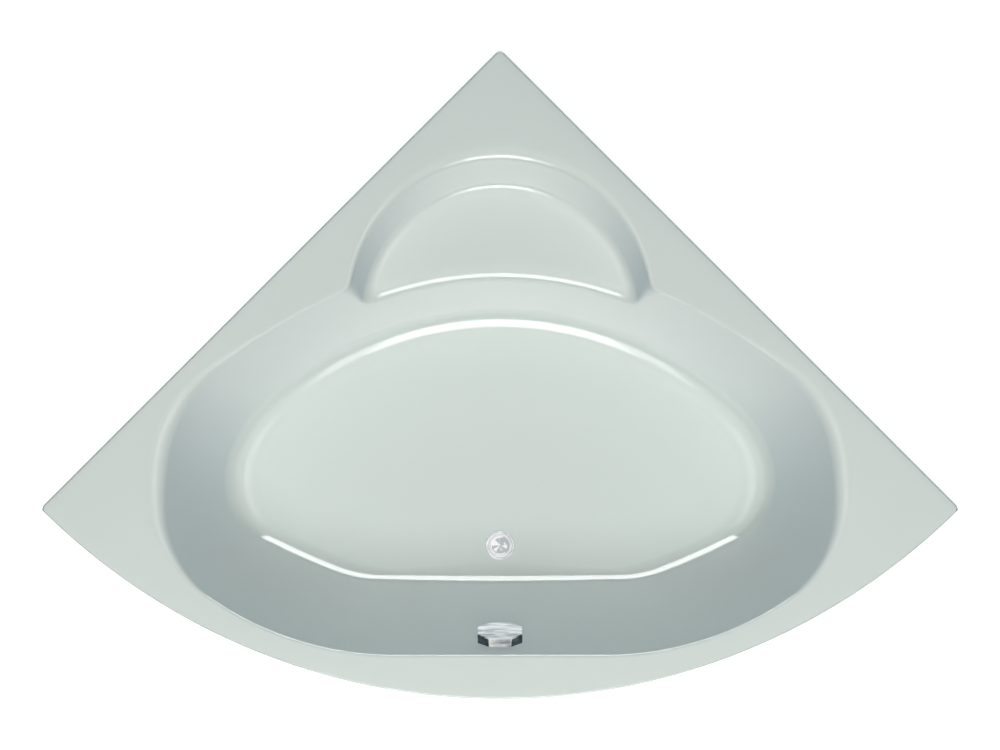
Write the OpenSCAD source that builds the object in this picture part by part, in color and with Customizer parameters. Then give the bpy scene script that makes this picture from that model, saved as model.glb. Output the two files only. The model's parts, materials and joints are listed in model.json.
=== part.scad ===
// Quarter-circle corner bath with a corner seat, its steel frame, waste, overflow and bowed front panel.
// Millimetres. +Z up, +Y towards the room corner, z = 0 on the floor, x = y = 0 at the middle of the plan.

/* [Bath] */
// Length of each straight side, and radius of the bowed front
side = 1400; // [1390:5:1500]
// Height of the rim above the floor
rim_h = 600; // [580:5:640]
// Height of the basin's floor above the room's floor
floor_h = 170; // [165:1:190]
// Depth of the corner seat below the rim
seat_d = 150; // [130:5:180]
// Width of the rim at the middle of the front
front_rim_w = 94; // [92:1:100]
// Height of the lip that turns down round the rim
lip_h = 40; // [30:1:50]
// Thickness of the acrylic
skin = 5; // [4:0.5:6]
// Thickness of the glass-fibre backing
backing = 3; // [2:0.5:4]

/* [Roundings] */
// Radius of the outer edge of the rim
edge_r = 6; // [3:0.5:8]
// Plan radius of the two side corners
side_corner_r = 12; // [8:1:20]
// Plan radius of the wall corner
wall_corner_r = 10; // [8:1:20]
// Radius of the basin's rim edge along the front and flanks
rim_edge_r = 9; // [6:0.5:12]
// Radius of the basin's rim edge at the two ends
end_edge_r = 50; // [30:1:60]
// Radius of the seat's rim edge at its back
seat_back_edge_r = 42; // [30:1:50]
// Radius between basin floor and front wall
front_fillet_r = 53; // [45:1:65]
// Radius between basin floor and the other walls
floor_fillet_r = 88; // [75:1:95]
// Radius between the seat and its wall
seat_fillet_r = 36; // [30:1:42]
// Radius of the seat's front edge
seat_front_r = 46; // [35:1:50]

/* [Seat] */
// Width of the rim between the seat and the walls
seat_rim_w = 67.3; // [64:0.1:72]
// Plan width of the seat's wall at its two sides
seat_wall_run = 33; // [30:1:40]

/* [Frame] */
// Width of the square steel tube
tube_w = 25; // [20:1:28]
// Wall of the square steel tube
tube_wall = 2; // [1.5:0.5:3]
// Thickness of the board under the basin and the seat
board_t = 18; // [15:1:20]
// Height of the battens under the rim
batten_h = 12; // [10:1:16]
// Width of the battens under the rim
batten_w = 28; // [20:1:30]
// Side of the square plates on top of the uprights
rim_pad_w = 36; // [30:1:38]
// Diameter of the foot studs
stud_d = 12; // [10:1:14]
// Diameter of the foot pads
foot_pad_d = 50; // [40:1:60]
// Travel of each foot
foot_travel = 40; // [30:1:45]

/* [Waste and overflow] */
// How far the drain lies behind the foot of the basin's front wall
drain_in = 70; // [70:1:80]
// Diameter of the waste flange
flange_d = 62; // [60:1:70]
// Diameter of the plug
plug_d = 42; // [40:1:43]
// Lift of the plug
plug_lift = 8; // [6:1:10]
// Depth of the overflow's middle below the rim
overflow_d = 83; // [80:1:90]
// Width of the overflow knob across its flats
knob_w = 97; // [90:1:100]
// Distance of the knob's face from the wall of the basin
knob_h = 23; // [20:1:26]
// Outer diameter of the outlet pipe
outlet_d = 40; // [36:1:44]
// Direction of the outlet, turned from straight back
outlet_turn = 20; // [15:1:30]
// Number of ribs on the overflow hose
hose_ribs = 44; // [30:1:60]

/* [Front panel] */
// Thickness of the panel
panel_t = 4; // [3:0.5:5]
// Gap between the panel's lower edge and the floor
panel_floor_gap = 12; // [8:1:20]
// Depth of the panel's upper and lower flanges
panel_flange = 18; // [12:1:18]

/* [Hidden] */
// Points along each ray from the rim's edge down to the floor
ROWS = 20;
// Samples along a ray from which those points are chosen
SAMPLES = 90;
// Length of the straight sides for which the plan below is drawn; it grows and shrinks with them
PLAN_SIDE = 1400;
// Half the straight front of the basin's rim, and radius and turn of each arc; one more arc closes it
RIM_HALF = 228;
RIM_RADII = [700, 254, 540, 303, 1300];
RIM_TURN_ANGLES = [34, 54, 12, 42, 16];
// The same for the line where the basin's wall meets its floor
FOOT_HALF = 248;
FOOT_RADII = [266, 1860, 147, 264];
FOOT_TURN_ANGLES = [20, 5, 83, 29];
// How far the middle of the basin lies behind the front edge of its rim
HUB_IN = 398;
// Plan width of the basin's front wall, from its rim edge to its foot
FRONT_WALL_RUN = 167;
// Middle and half width, in degrees round the basin, of the wide rounding at each end
END_ANGLE = 93;
END_SPREAD_ANGLE = 32;
// Depth over which the basin's wall and the seat's wall blend
BLEND_D = 60;
// How far these lie behind the middle of the basin: the seat's own middle, its opening and its wall's foot
SEAT_HUB_BACK = 325;
SEAT_RIM_BACK = 349;
SEAT_FOOT_BACK = 318;
// Least plan width of the seat's wall; it has this only where the seat is open to the basin
SEAT_LEAST_RUN = 1;
// Clearance of a turning or sliding fit, on the radius
FIT = 0.05;
// Gap between parts that meet but can be taken apart
GAP = 0.3;
// Height of the plates that hold the foot studs, and of the lock nuts under them
NUT_PLATE_H = 10;
LOCK_NUT_H = 8;
FOOT_PAD_H = 14;
// Positions of the uprights: the side ones from the middle of the plan, the others also from the front
// edge, the room corner and the foot of the seat's wall
UPRIGHT_SIDE = [845, -250];
UPRIGHT_FRONT_X = 260;
UPRIGHT_FRONT_IN = 62;
UPRIGHT_CORNER_IN = 112;
SEAT_POST_IN = 78;
// Second pair of rails: their line and their outer ends
REAR_RAIL_Y = -60;
REAR_RAIL_X = 400;
// Board screws: radius, places along the rails, depth in the board and height of the head
SCREW_R = 2.5;
SCREW_X = [120, 250];
SCREW_IN = 14;
SCREW_HEAD_H = 3;
// How far the board's edge stays inside the level part of the floor, and the half width of its notch
BOARD_INSET = 12;
NOTCH_R = 52;
// The seat's board: how far it stays inside the foot of the seat's wall, its width, and the bond above it
SEAT_BOARD_IN = 45;
SEAT_BOARD_W = 80;
SEAT_BOND = 0.2;
// Height of the plates on the uprights, and how far the studs reach past their travel
PAD_H = 3;
STUD_SPARE = 6;
// Panel magnets: height above the frame and depth below the panel's top, diameter and height; steel plate
// opposite; gap at the walls
MAGNET_UP = 31;
MAGNET_DOWN = 58;
MAGNET_D = 22;
MAGNET_H = 9;
STRIKE_H = 2;
PANEL_END_GAP = 3;
// Battens and wall brackets, measured inwards from the rim's outer edge and along the wall; the wall
// battens start past the room corner and stop before the wide rounding at the basin's ends
BATTEN_IN = 11;
BATTEN_START = 120;
BATTEN_STOP = 560;
FRONT_BATTEN_W = 24;
FRONT_BATTEN_ANGLE = 33;
BRACKET_AT = 650;
BRACKET_W = 60;
BRACKET_T = 3;
BRACKET_DROP = 90;
BRACKET_LEG = 25;
BRACKET_HOLE_R = 4;
// Waste: radii from the drain's axis and heights from the basin's floor
WASTE_HOLE_R = 24;
FLANGE_TUBE_R = 22.8;
FLANGE_BORE_R = 18.5;
FLANGE_TUBE_Z = -26;
SEAL_T = 1.5;
LOWER_SEAL_T = 4;
GUIDE_Z = -14;
GUIDE_H = 6;
STEM_R = 4;
STEM_SPARE = 8;
BODY_R = 28;
BODY_Z = -60;
INLET_Z = -42;
INLET_R = 15;
INLET_REACH = 38;
GLAND_R = 5;
GLAND_Z = -50;
GLAND_REACH = 40;
PIPE_WALL = 2.5;
// Trap: the waste body's pipe dips into a cup; heights from the room's floor, and its top and its outlet
// below the basin's floor
DIP_R = 19;
DIP_END_Z = 24;
TRAP_R = 44;
TRAP_BOTTOM_Z = 12;
TRAP_TOP_DOWN = 78;
COLLAR_H = 8;
OUTLET_DOWN = 106;
SOCKET_REACH = 70;
NUT_L = 14;
PIPE_REACH = 265;
// The pipe's end in the socket and under the nut is narrower by this, up to a little past the nut
SPIGOT_STEP = 0.4;
PIPE_START = 86;
// Overflow: heights from the basin's wall, and distances down along the wall
OVERFLOW_HOLE_R = 26;
PLATE_R = 31;
PLATE_T = 3;
PLATE_SCREW_R = 2;
PLATE_SCREW_IN = 8;
NECK = [19, 25];
SHAFT_R = 6;
CRANK_R = 13;
CUP_R = 28;
CUP_Z = -58;
SPIGOT_Z = -42;
SPIGOT_REACH = 58;
CABLE_X = 22;
CABLE_Z = -24;
CABLE_REACH = 40;
KNOB_FLAT = 47;
KNOB_BACK = 3.5;
KNOB_WALL = 5;
KNOB_BEVEL = 2;
// Hose: radius of its ribs, its valleys and its bore; the straight run at its lower end
HOSE_R = [17, 14.5, 12];
HOSE_END = 26;
HOSE_SIDES = 8;
// Pull cable: radius, and the points between its ends; each is a share of the straight way between them
// and how far it lies to the right of that way and behind it
CABLE_R = 2.5;
CABLE_SIDES = 8;
CABLE_POINTS = [[0.14, -2, -24], [0.4, 5, -43], [0.69, 16, -68], [0.885, 34, -71], [0.97, 52, -44],
                [1, 46, -14]];

plan = side / PLAN_SIDE;
apex_y = (side + wall_corner_r * (sqrt(2) - 1)) / 2;
front_y = apex_y - side;
basin_front_y = front_y + front_rim_w;
hub_y = basin_front_y + plan * HUB_IN;
foot_front_y = basin_front_y + plan * FRONT_WALL_RUN;
rim_half = plan * RIM_HALF;
foot_half = plan * FOOT_HALF;
seat_hub_y = hub_y + plan * SEAT_HUB_BACK;
seat_rim_y = hub_y + plan * SEAT_RIM_BACK;
seat_foot_y = hub_y + plan * SEAT_FOOT_BACK;
seat_rim_r = (apex_y - seat_rim_y) / sqrt(2) - seat_rim_w;
seat_foot_r = seat_rim_r - seat_wall_run;
basin_d = rim_h - floor_h;
under = skin + backing;
outer_edge_r = max(edge_r, skin + 1);
inner_edge_r = max(rim_edge_r, under + 1);
board_z = floor_h - under - board_t;
seat_board_z = rim_h - seat_d - under - SEAT_BOND - board_t;
frame_z = board_z - tube_w;
batten_z = rim_h - under - batten_h;
front_lean = atan((foot_front_y - basin_front_y) / basin_d);
drain_y = foot_front_y + drain_in;
corner_up_y = apex_y - UPRIGHT_CORNER_IN;
front_up_y = front_y + UPRIGHT_FRONT_IN;
seat_post_y = seat_foot_y + seat_foot_r - SEAT_POST_IN;
side_up = plan * UPRIGHT_SIDE;
front_up_x = plan * UPRIGHT_FRONT_X;
rear_rail = plan * [REAR_RAIL_X, REAR_RAIL_Y];
UPRIGHTS = [[-side_up[0], side_up[1]], side_up, [0, corner_up_y],
            [-front_up_x, front_up_y], [front_up_x, front_up_y]];

// Geometry of the shell. A ray leaves the middle of the basin at the angle t: 0 is the front, 90 the
// left end and 180 the back. Everything is worked out on the left half and mirrored.

function ray(t) = [-sin(t), -cos(t)];
function hub() = [0, hub_y];
function ray_angle(p, c) = atan2(c[0] - p[0], c[1] - p[1]);

// One arc of a chain: middle, radius, ray angle of its end, end point and heading after it
function arc_from(p, h, r, a, c) =
    let (m = p + r * [sin(h), -cos(h)], q = m - r * [sin(h - a), -cos(h - a)])
    [m, r, ray_angle(q, c), q, h - a];

function chain(p, h, radii, turns, c, i = 0) =
    i == len(radii) ? [arc_from(p, h, -p[0] / sin(h), h, c)] :
    let (k = arc_from(p, h, plan * radii[i], turns[i], c))
    concat([k], chain(k[3], k[4], radii, turns, c, i + 1));

rim_chain = chain([-rim_half, basin_front_y], 180, RIM_RADII, RIM_TURN_ANGLES, hub());
foot_chain = chain([-foot_half, foot_front_y], 180, FOOT_RADII, FOOT_TURN_ANGLES, hub());

// Distance from c along the unit vector u to the far side of a circle
function to_circle(c, u, m, r) = let (d = m - c, k = u * d) k + sqrt(max(0, r * r - d * d + k * k));

// Distance from the middle of the basin to a chain of arcs at the ray angle t
function chain_reach(t, half, y0, arcs, i = 0) =
    t <= ray_angle([-half, y0], hub()) ? (hub_y - y0) / cos(t) :
    (i == len(arcs) - 1 || t <= arcs[i][2]) ? to_circle(hub(), ray(t), arcs[i][0], arcs[i][1]) :
    chain_reach(t, half, y0, arcs, i + 1);

function rim_reach(t) = chain_reach(t, rim_half, basin_front_y, rim_chain);
function foot_reach(t) = chain_reach(t, foot_half, foot_front_y, foot_chain);

// 1 at the middle of a bump and 0 from its half width on
function bump(t, mid, spread) = abs(t - mid) >= spread ? 0 : pow(cos(90 * (t - mid) / spread), 2);
function ramp(t, a, b) = let (k = max(0, min(1, (t - a) / (b - a)))) k * k * (3 - 2 * k);
function basin_edge_r(t) = inner_edge_r + (end_edge_r - inner_edge_r) * bump(t, END_ANGLE, END_SPREAD_ANGLE);
function basin_fillet_r(t) = front_fillet_r + (floor_fillet_r - front_fillet_r) * ramp(t, 40, 85);

// Tangent length of a rounding of radius r at a wall of slope m
function tangent(m, r) = r * tan((90 - atan(1 / m)) / 2);

// Wall of depth e and slope m, rounded into a floor at the depth f
function into_floor(e, f, m, r) =
    let (s = (f - e) / m, k = tangent(m, r))
    s <= -k ? f : s < k * sin(atan(1 / m)) ? f - r + sqrt(r * r - (s + k) * (s + k)) : e;

// Wall of depth e and slope m, rounded over into a level face at the depth 0
function over_edge(e, m, r) =
    let (s = -e / m, k = tangent(m, r))
    s >= k ? 0 : s > -k * sin(atan(1 / m)) ? r - sqrt(r * r - (s - k) * (s - k)) : e;

// Depth of the shell's upper face below the rim at the point p
function depth(p) =
    let (t = ray_angle([-abs(p[0]), p[1]], hub()),
         outer = rim_reach(t),
         m_b = basin_d / (outer - foot_reach(t)),
         wall_b = m_b * (outer - norm(p - hub())),
         basin = into_floor(wall_b, basin_d, m_b, basin_fillet_r(t)),
         c = [0, seat_hub_y],
         away = norm(p - c),
         u = away < 0.001 ? [0, 1] : (p - c) / away,
         seat_out = to_circle(c, u, [0, seat_rim_y], seat_rim_r),
         m_s = seat_d / max(SEAT_LEAST_RUN, seat_out - to_circle(c, u, [0, seat_foot_y], seat_foot_r)),
         wall_s = m_s * (seat_out - away),
         shelf = seat_d + over_edge(basin - seat_d, m_b, seat_front_r),
         seat = into_floor(wall_s, shelf, m_s, seat_fillet_r),
         k = BLEND_D * (1 - max(0, min(1, wall_s / seat_d))),
         w = k <= 0 ? (basin > seat ? 1 : 0) : max(0, min(1, 0.5 + 0.5 * (basin - seat) / k)),
         both = w * basin + (1 - w) * seat + k * w * (1 - w),
         seat_edge = inner_edge_r + (seat_back_edge_r - inner_edge_r) * pow(max(0, u[1]), 2))
    over_edge(both, w * m_b + (1 - w) * m_s, w * basin_edge_r(t) + (1 - w) * seat_edge);

// Outer outline of the rim, with its two side corners and the wall corner rounded
side_corner = let (r = side - side_corner_r, a = 45 - asin(side_corner_r / r))
              [0, apex_y] - r * [sin(a), cos(a)];
wall_corner = [0, apex_y - wall_corner_r * sqrt(2)];
corner_t = [ray_angle([0, apex_y] + side / (side - side_corner_r) * (side_corner - [0, apex_y]), hub()),
            ray_angle(side_corner + side_corner_r * [-1, 1] / sqrt(2), hub()),
            ray_angle(wall_corner + wall_corner_r * [-1, 1] / sqrt(2), hub())];

// Distance from the middle of the basin to the outer outline, drawn in by the distance d
function outer_reach(t, d = 0) =
    t <= corner_t[0] ? to_circle(hub(), ray(t), [0, apex_y], side - d) :
    t < corner_t[1] ? to_circle(hub(), ray(t), side_corner, side_corner_r - d) :
    t <= corner_t[2] ? (apex_y - hub_y - d * sqrt(2)) / (sin(t) - cos(t)) :
    to_circle(hub(), ray(t), wall_corner, wall_corner_r - d);

function steps(a, b, n) = [for (i = [0:n - 1]) a + (b - a) * i / n];

// Ray angles of the left half; the corners and the tip between seat and basin get more of them
RAYS = concat(steps(0, 24, 3), steps(24, corner_t[0], 9), steps(corner_t[0], corner_t[1], 2),
              steps(corner_t[1], 136, 8), steps(136, 152, 6), steps(152, corner_t[2], 4),
              [corner_t[2], (corner_t[2] + 180) / 2, 180]);
HALF = len(RAYS);
COLS = 2 * HALF - 2;

// Distance from the middle of the basin to the edge of its level floor
function level_reach(t) =
    foot_reach(t) - tangent(basin_d / (rim_reach(t) - foot_reach(t)), basin_fillet_r(t));

// Distances along a ray at which the points of a column lie: the first is at the rim's outer edge, the
// second where the level rim ends, and the others are closer where the section curves
function reaches(t, out) =
    let (last = level_reach(t),
         r = [for (i = [0:SAMPLES]) out + (last - out) * i / SAMPLES],
         z = [for (q = r) depth(hub() + q * ray(t))],
         edge = max([for (i = [0:SAMPLES]) if (z[i] < 0.001) i]),
         step = (out - last) / SAMPLES,
         tilt = [for (i = [0:SAMPLES - 1]) atan((z[i + 1] - z[i]) / step)],
         cost = [for (i = [0:SAMPLES - 1]) 0.10 * norm([step, z[i + 1] - z[i]])
                 + (i == 0 ? 0 : abs(tilt[i] - tilt[i - 1]))],
         sum = [for (i = edge, s = 0; i <= SAMPLES; s = s + (i < SAMPLES ? cost[i] : 0), i = i + 1)
                [s, r[i]]],
         total = sum[SAMPLES - edge][0])
    [for (j = [0:ROWS]) j == 0 ? out : j == ROWS ? last : lookup(total * (j - 1) / (ROWS - 1), sum)];

// Upper face of one column, from the lip's lower edge over the rim and down to the floor's edge
function column(t) =
    let (o = hub() + outer_reach(t) * ray(t),
         e = hub() + outer_reach(t, outer_edge_r) * ray(t),
         q = reaches(t, outer_reach(t, outer_edge_r)),
         up = (1 - 1 / sqrt(2)) * outer_edge_r)
    concat([[o[0], o[1], rim_h - lip_h], [o[0], o[1], rim_h - outer_edge_r]],
           [let (c = hub() + outer_reach(t, up) * ray(t)) [c[0], c[1], rim_h - up]],
           [[e[0], e[1], rim_h]],
           [for (j = [1:ROWS]) let (p = hub() + q[j] * ray(t)) [p[0], p[1], rim_h - depth(p)]]);

left = [for (t = RAYS) column(t)];
TOP = [for (i = [0:COLS - 1]) i < HALF ? left[i] : [for (p = left[COLS - i]) [-p[0], p[1], p[2]]]];
LAST = len(TOP[0]) - 1;

// Direction that leaves the upper face at the point j of the column i
function facing(i, j) =
    let (p = TOP[i][j])
    j == LAST || (j > 2 && p[2] > rim_h - 0.05) || p[2] < floor_h + 0.05 ? [0, 0, 1] :
    let (a = TOP[(i + 1) % COLS][j], b = TOP[(i + COLS - 1) % COLS][j],
         c = TOP[i][max(0, j - 1)], d = TOP[i][min(LAST, j + 1)],
         n = cross(d - c, a - b)) n / norm(n);

FACING = [for (i = [0:COLS - 1]) [for (j = [0:LAST]) let (n = facing(i, j))
                                  j < 2 ? [n[0], n[1], 0] / norm([n[0], n[1]]) : n]];

// The face that lies the distance d under the upper face, from the row j0 on
function sunk(d, j0 = 0) = [for (i = [0:COLS - 1]) [for (j = [j0:LAST]) TOP[i][j] - d * FACING[i][j]]];

// Closed skin between two such faces
module skin_between(a, b) {
    rows = len(a[0]);
    n = COLS * rows;
    wall = [for (i = [0:COLS - 1], j = [0:rows - 2])
            let (k = (i + 1) % COLS) [i * rows + j, i * rows + j + 1, k * rows + j + 1, k * rows + j]];
    rim = [for (i = [0:COLS - 1]) let (k = (i + 1) % COLS) [i * rows, k * rows, n + k * rows, n + i * rows]];
    floor_ring = [for (i = [0:COLS - 1]) i * rows + rows - 1];
    faces = concat([for (f = wall) each [[f[0], f[1], f[2]], [f[0], f[2], f[3]]]],
                   [for (f = wall) each [[n + f[2], n + f[1], n + f[0]], [n + f[3], n + f[2], n + f[0]]]],
                   [for (f = rim) each [[f[0], f[1], f[2]], [f[0], f[2], f[3]]]],
                   [floor_ring], [[for (i = [COLS - 1:-1:0]) n + floor_ring[i]]]);
    polyhedron([for (c = a) each c, for (c = b) each c], faces);
}

// Places its children with z = 0 on the basin's front wall and +Z out of the wall, at the overflow
module at_overflow() {
    translate([0, basin_front_y + overflow_d * tan(front_lean), rim_h - overflow_d])
        rotate([front_lean - 90, 0, 0]) children();
}

module at_drain() { translate([0, drain_y, floor_h]) children(); }

plug_r = plug_d / 2;
stem_z = GUIDE_Z - plug_lift - STEM_SPARE;
batten_x = [BATTEN_START, side - plan * BATTEN_STOP];
upright_top = rim_h - under - PAD_H;
front_upright_top = batten_z - PAD_H;
panel_top = rim_h - lip_h - 2;
magnet_y = front_up_y - tube_w / 2;
magnet_z = [frame_z + MAGNET_UP, panel_top - MAGNET_DOWN];
trap_top = floor_h - TRAP_TOP_DOWN;
spigot_r = outlet_d / 2 - SPIGOT_STEP;

module ring(r_in, r_out, h) {
    difference() {
        cylinder(r = r_out, h = h, $fn = 64);
        translate([0, 0, -1]) cylinder(r = r_in, h = h + 2, $fn = 64);
    }
}

module service_holes() {
    at_drain() translate([0, 0, -2 * under]) cylinder(r = WASTE_HOLE_R, h = 4 * under, $fn = 64);
    at_overflow() translate([0, 0, -2 * under]) cylinder(r = OVERFLOW_HOLE_R, h = 4 * under, $fn = 64);
}

module acrylic_shell() {
    color("#c6cfcc") difference() {
        skin_between(sunk(0), sunk(skin));
        service_holes();
    }
}

module glass_fibre_backing() {
    color("#cfc9a8") difference() {
        skin_between(sunk(skin, 3), sunk(under, 3));
        service_holes();
    }
}

// Boards and battens
BOARD_T = [for (t = [0:15:180]) t];
BOARD = [for (t = BOARD_T) hub() + (level_reach(t) - BOARD_INSET) * ray(t)];

// Where the screws go up through the rails into the board
module at_board_screws() {
    for (x = SCREW_X, sx = [-1, 1], y = [side_up[1], rear_rail[1]]) translate([sx * x, y, 0]) children();
}

module base_board() {
    color("#b9975f") difference() {
        translate([0, 0, board_z]) linear_extrude(board_t)
            polygon(concat(BOARD, [for (i = [len(BOARD) - 2:-1:1]) [-BOARD[i][0], BOARD[i][1]]]));
        translate([0, drain_y, board_z - 1]) cylinder(r = NOTCH_R, h = board_t + 2, $fn = 64);
        translate([-NOTCH_R, foot_front_y, board_z - 1]) cube([2 * NOTCH_R, drain_in, board_t + 2]);
        at_board_screws() translate([0, 0, board_z - 1]) cylinder(r = SCREW_R, h = SCREW_IN + 1, $fn = 24);
    }
}

module seat_board() {
    color("#b9975f") translate([0, 0, seat_board_z]) linear_extrude(board_t) intersection() {
        translate([0, seat_foot_y]) circle(r = seat_foot_r - SEAT_BOARD_IN, $fn = 96);
        translate([-seat_foot_r, seat_post_y - SEAT_BOARD_W / 2]) square([2 * seat_foot_r, SEAT_BOARD_W]);
    }
}

// x runs along the right-hand wall from the room corner, y is negative on the bath's side
module along_wall(left) {
    mirror([left ? 1 : 0, 0, 0]) translate([0, apex_y, 0]) rotate([0, 0, -45]) children();
}

module rim_batten(left) {
    color("#b9975f") along_wall(left)
        translate([batten_x[0], -BATTEN_IN - batten_w, batten_z])
            cube([batten_x[1] - batten_x[0], batten_w, batten_h]);
}

module rim_batten_left() { rim_batten(true); }
module rim_batten_right() { rim_batten(false); }

// Turns a section about the room corner; x in the section is the distance from that corner
module bowed(half_angle) {
    translate([0, apex_y, 0]) rotate([0, 0, 270 - half_angle])
        rotate_extrude(angle = 2 * half_angle, $fn = 720) children();
}

module rim_batten_front() {
    color("#b9975f") bowed(FRONT_BATTEN_ANGLE)
        translate([side - BATTEN_IN - FRONT_BATTEN_W, batten_z]) square([FRONT_BATTEN_W, batten_h]);
}

// Square tube standing on z = 0, with its axis on the z axis
module tube(l) {
    inner = tube_w - 2 * tube_wall;
    translate([0, 0, l / 2]) difference() {
        cube([tube_w, tube_w, l], center = true);
        cube([inner, inner, l + 2], center = true);
    }
}

// Square tube along +X or +Y from the point p, lying on the frame's lower plane
module tube_x(p, l) { translate([p[0], p[1], frame_z + tube_w / 2]) rotate([0, 90, 0]) tube(l); }
module tube_y(p, l) { translate([p[0], p[1], frame_z + tube_w / 2]) rotate([-90, 0, 0]) tube(l); }

module screw_holes() {
    at_board_screws() translate([0, 0, frame_z - 1]) cylinder(r = SCREW_R + GAP, h = tube_w + 2, $fn = 24);
}

rail_half = side_up[0] - tube_w / 2;

module cross_rail() {
    color("#6d7275") difference() {
        tube_x([-rail_half, side_up[1]], 2 * rail_half);
        screw_holes();
    }
}

module rear_rail(s) {
    l = rear_rail[0] - tube_w / 2;
    color("#6d7275") difference() {
        tube_x([s > 0 ? tube_w / 2 : -rear_rail[0], rear_rail[1]], l);
        screw_holes();
    }
}

module rear_rail_left() { rear_rail(-1); }
module rear_rail_right() { rear_rail(1); }

module spine_rail() {
    y0 = side_up[1] + tube_w / 2;
    color("#6d7275") tube_y([0, y0], corner_up_y - tube_w / 2 - y0);
}

module front_arm(s) {
    y0 = front_up_y + tube_w / 2;
    color("#6d7275") tube_y([s * front_up_x, y0], side_up[1] - tube_w / 2 - y0);
}

module front_arm_left() { front_arm(-1); }
module front_arm_right() { front_arm(1); }

module upright(i) {
    color("#6d7275") translate([UPRIGHTS[i][0], UPRIGHTS[i][1], frame_z])
        tube((i > 2 ? front_upright_top : upright_top) - frame_z);
}

module upright_left() { upright(0); }
module upright_right() { upright(1); }
module upright_corner() { upright(2); }
module upright_front_left() { upright(3); }
module upright_front_right() { upright(4); }

module seat_post() {
    color("#6d7275") translate([0, seat_post_y, board_z]) tube(seat_board_z - board_z);
}

module rim_pads() {
    color("#6d7275") for (i = [0:4])
        translate([UPRIGHTS[i][0] - rim_pad_w / 2, UPRIGHTS[i][1] - rim_pad_w / 2,
                   i > 2 ? front_upright_top : upright_top]) cube([rim_pad_w, rim_pad_w, PAD_H]);
}

// Feet
stud_r = stud_d / 2;
nut_plate_z = frame_z - NUT_PLATE_H;
lock_nut_z = nut_plate_z - LOCK_NUT_H;

module foot_nut_plates() {
    color("#8b9093") for (p = UPRIGHTS) translate([p[0], p[1], nut_plate_z]) difference() {
        translate([-tube_w / 2, -tube_w / 2, 0]) cube([tube_w, tube_w, NUT_PLATE_H]);
        translate([0, 0, -1]) cylinder(r = stud_r + FIT, h = NUT_PLATE_H + 2, $fn = 48);
    }
}

module lock_nuts() {
    color("#9aa0a3") for (p = UPRIGHTS) translate([p[0], p[1], lock_nut_z]) difference() {
        cylinder(r = stud_d * 0.92, h = LOCK_NUT_H, $fn = 6);
        translate([0, 0, -1]) cylinder(r = stud_r + FIT, h = LOCK_NUT_H + 2, $fn = 48);
    }
}

module foot_stud(i) {
    color("#b5babd") translate([UPRIGHTS[i][0], UPRIGHTS[i][1], FOOT_PAD_H / 2])
        cylinder(r = stud_r, h = frame_z + foot_travel + STUD_SPARE - FOOT_PAD_H / 2, $fn = 48);
}

module foot_pad(i) {
    color("#3a3d40") translate([UPRIGHTS[i][0], UPRIGHTS[i][1], 0]) difference() {
        rotate_extrude($fn = 64) polygon([[0, 0], [foot_pad_d / 2, 0], [foot_pad_d / 2, 4],
                                          [stud_r + 5, FOOT_PAD_H], [0, FOOT_PAD_H]]);
        translate([0, 0, FOOT_PAD_H / 2]) cylinder(r = stud_r, h = FOOT_PAD_H, $fn = 48);
    }
}

module foot_stud_left() { foot_stud(0); }
module foot_stud_right() { foot_stud(1); }
module foot_stud_corner() { foot_stud(2); }
module foot_stud_front_left() { foot_stud(3); }
module foot_stud_front_right() { foot_stud(4); }
module foot_pad_left() { foot_pad(0); }
module foot_pad_right() { foot_pad(1); }
module foot_pad_corner() { foot_pad(2); }
module foot_pad_front_left() { foot_pad(3); }
module foot_pad_front_right() { foot_pad(4); }

module board_screws() {
    color("#b5babd") at_board_screws() {
        translate([0, 0, frame_z - SCREW_HEAD_H]) cylinder(r = 2 * SCREW_R, h = SCREW_HEAD_H, $fn = 24);
        translate([0, 0, frame_z - 1]) cylinder(r = SCREW_R, h = tube_w + SCREW_IN + 1, $fn = 24);
    }
}

// Steel hook on the wall: the lip stands on its shelf, in front of its leg
module wall_bracket(left) {
    d = skin + GAP + BRACKET_T;
    z = rim_h - lip_h;
    color("#a5abae") along_wall(left) translate([plan * BRACKET_AT, 0, 0]) difference() {
        rotate([90, 0, 90]) linear_extrude(BRACKET_W)
            polygon([[0, z - BRACKET_DROP], [0, z], [-skin - GAP, z], [-skin - GAP, z + BRACKET_LEG],
                     [-d, z + BRACKET_LEG], [-d, z - BRACKET_T], [-BRACKET_T, z - BRACKET_T],
                     [-BRACKET_T, z - BRACKET_DROP]]);
        for (x = [BRACKET_W / 4, BRACKET_W * 3 / 4])
            translate([x, 1, z - BRACKET_DROP * 2 / 3]) rotate([90, 0, 0])
                cylinder(r = BRACKET_HOLE_R, h = BRACKET_T + 2, $fn = 48);
    }
}

module wall_bracket_left() { wall_bracket(true); }
module wall_bracket_right() { wall_bracket(false); }

// Waste
module waste_seal_upper() { color("#2f3234") at_drain() ring(WASTE_HOLE_R + GAP, flange_d / 2 - 3, SEAL_T); }

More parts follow.
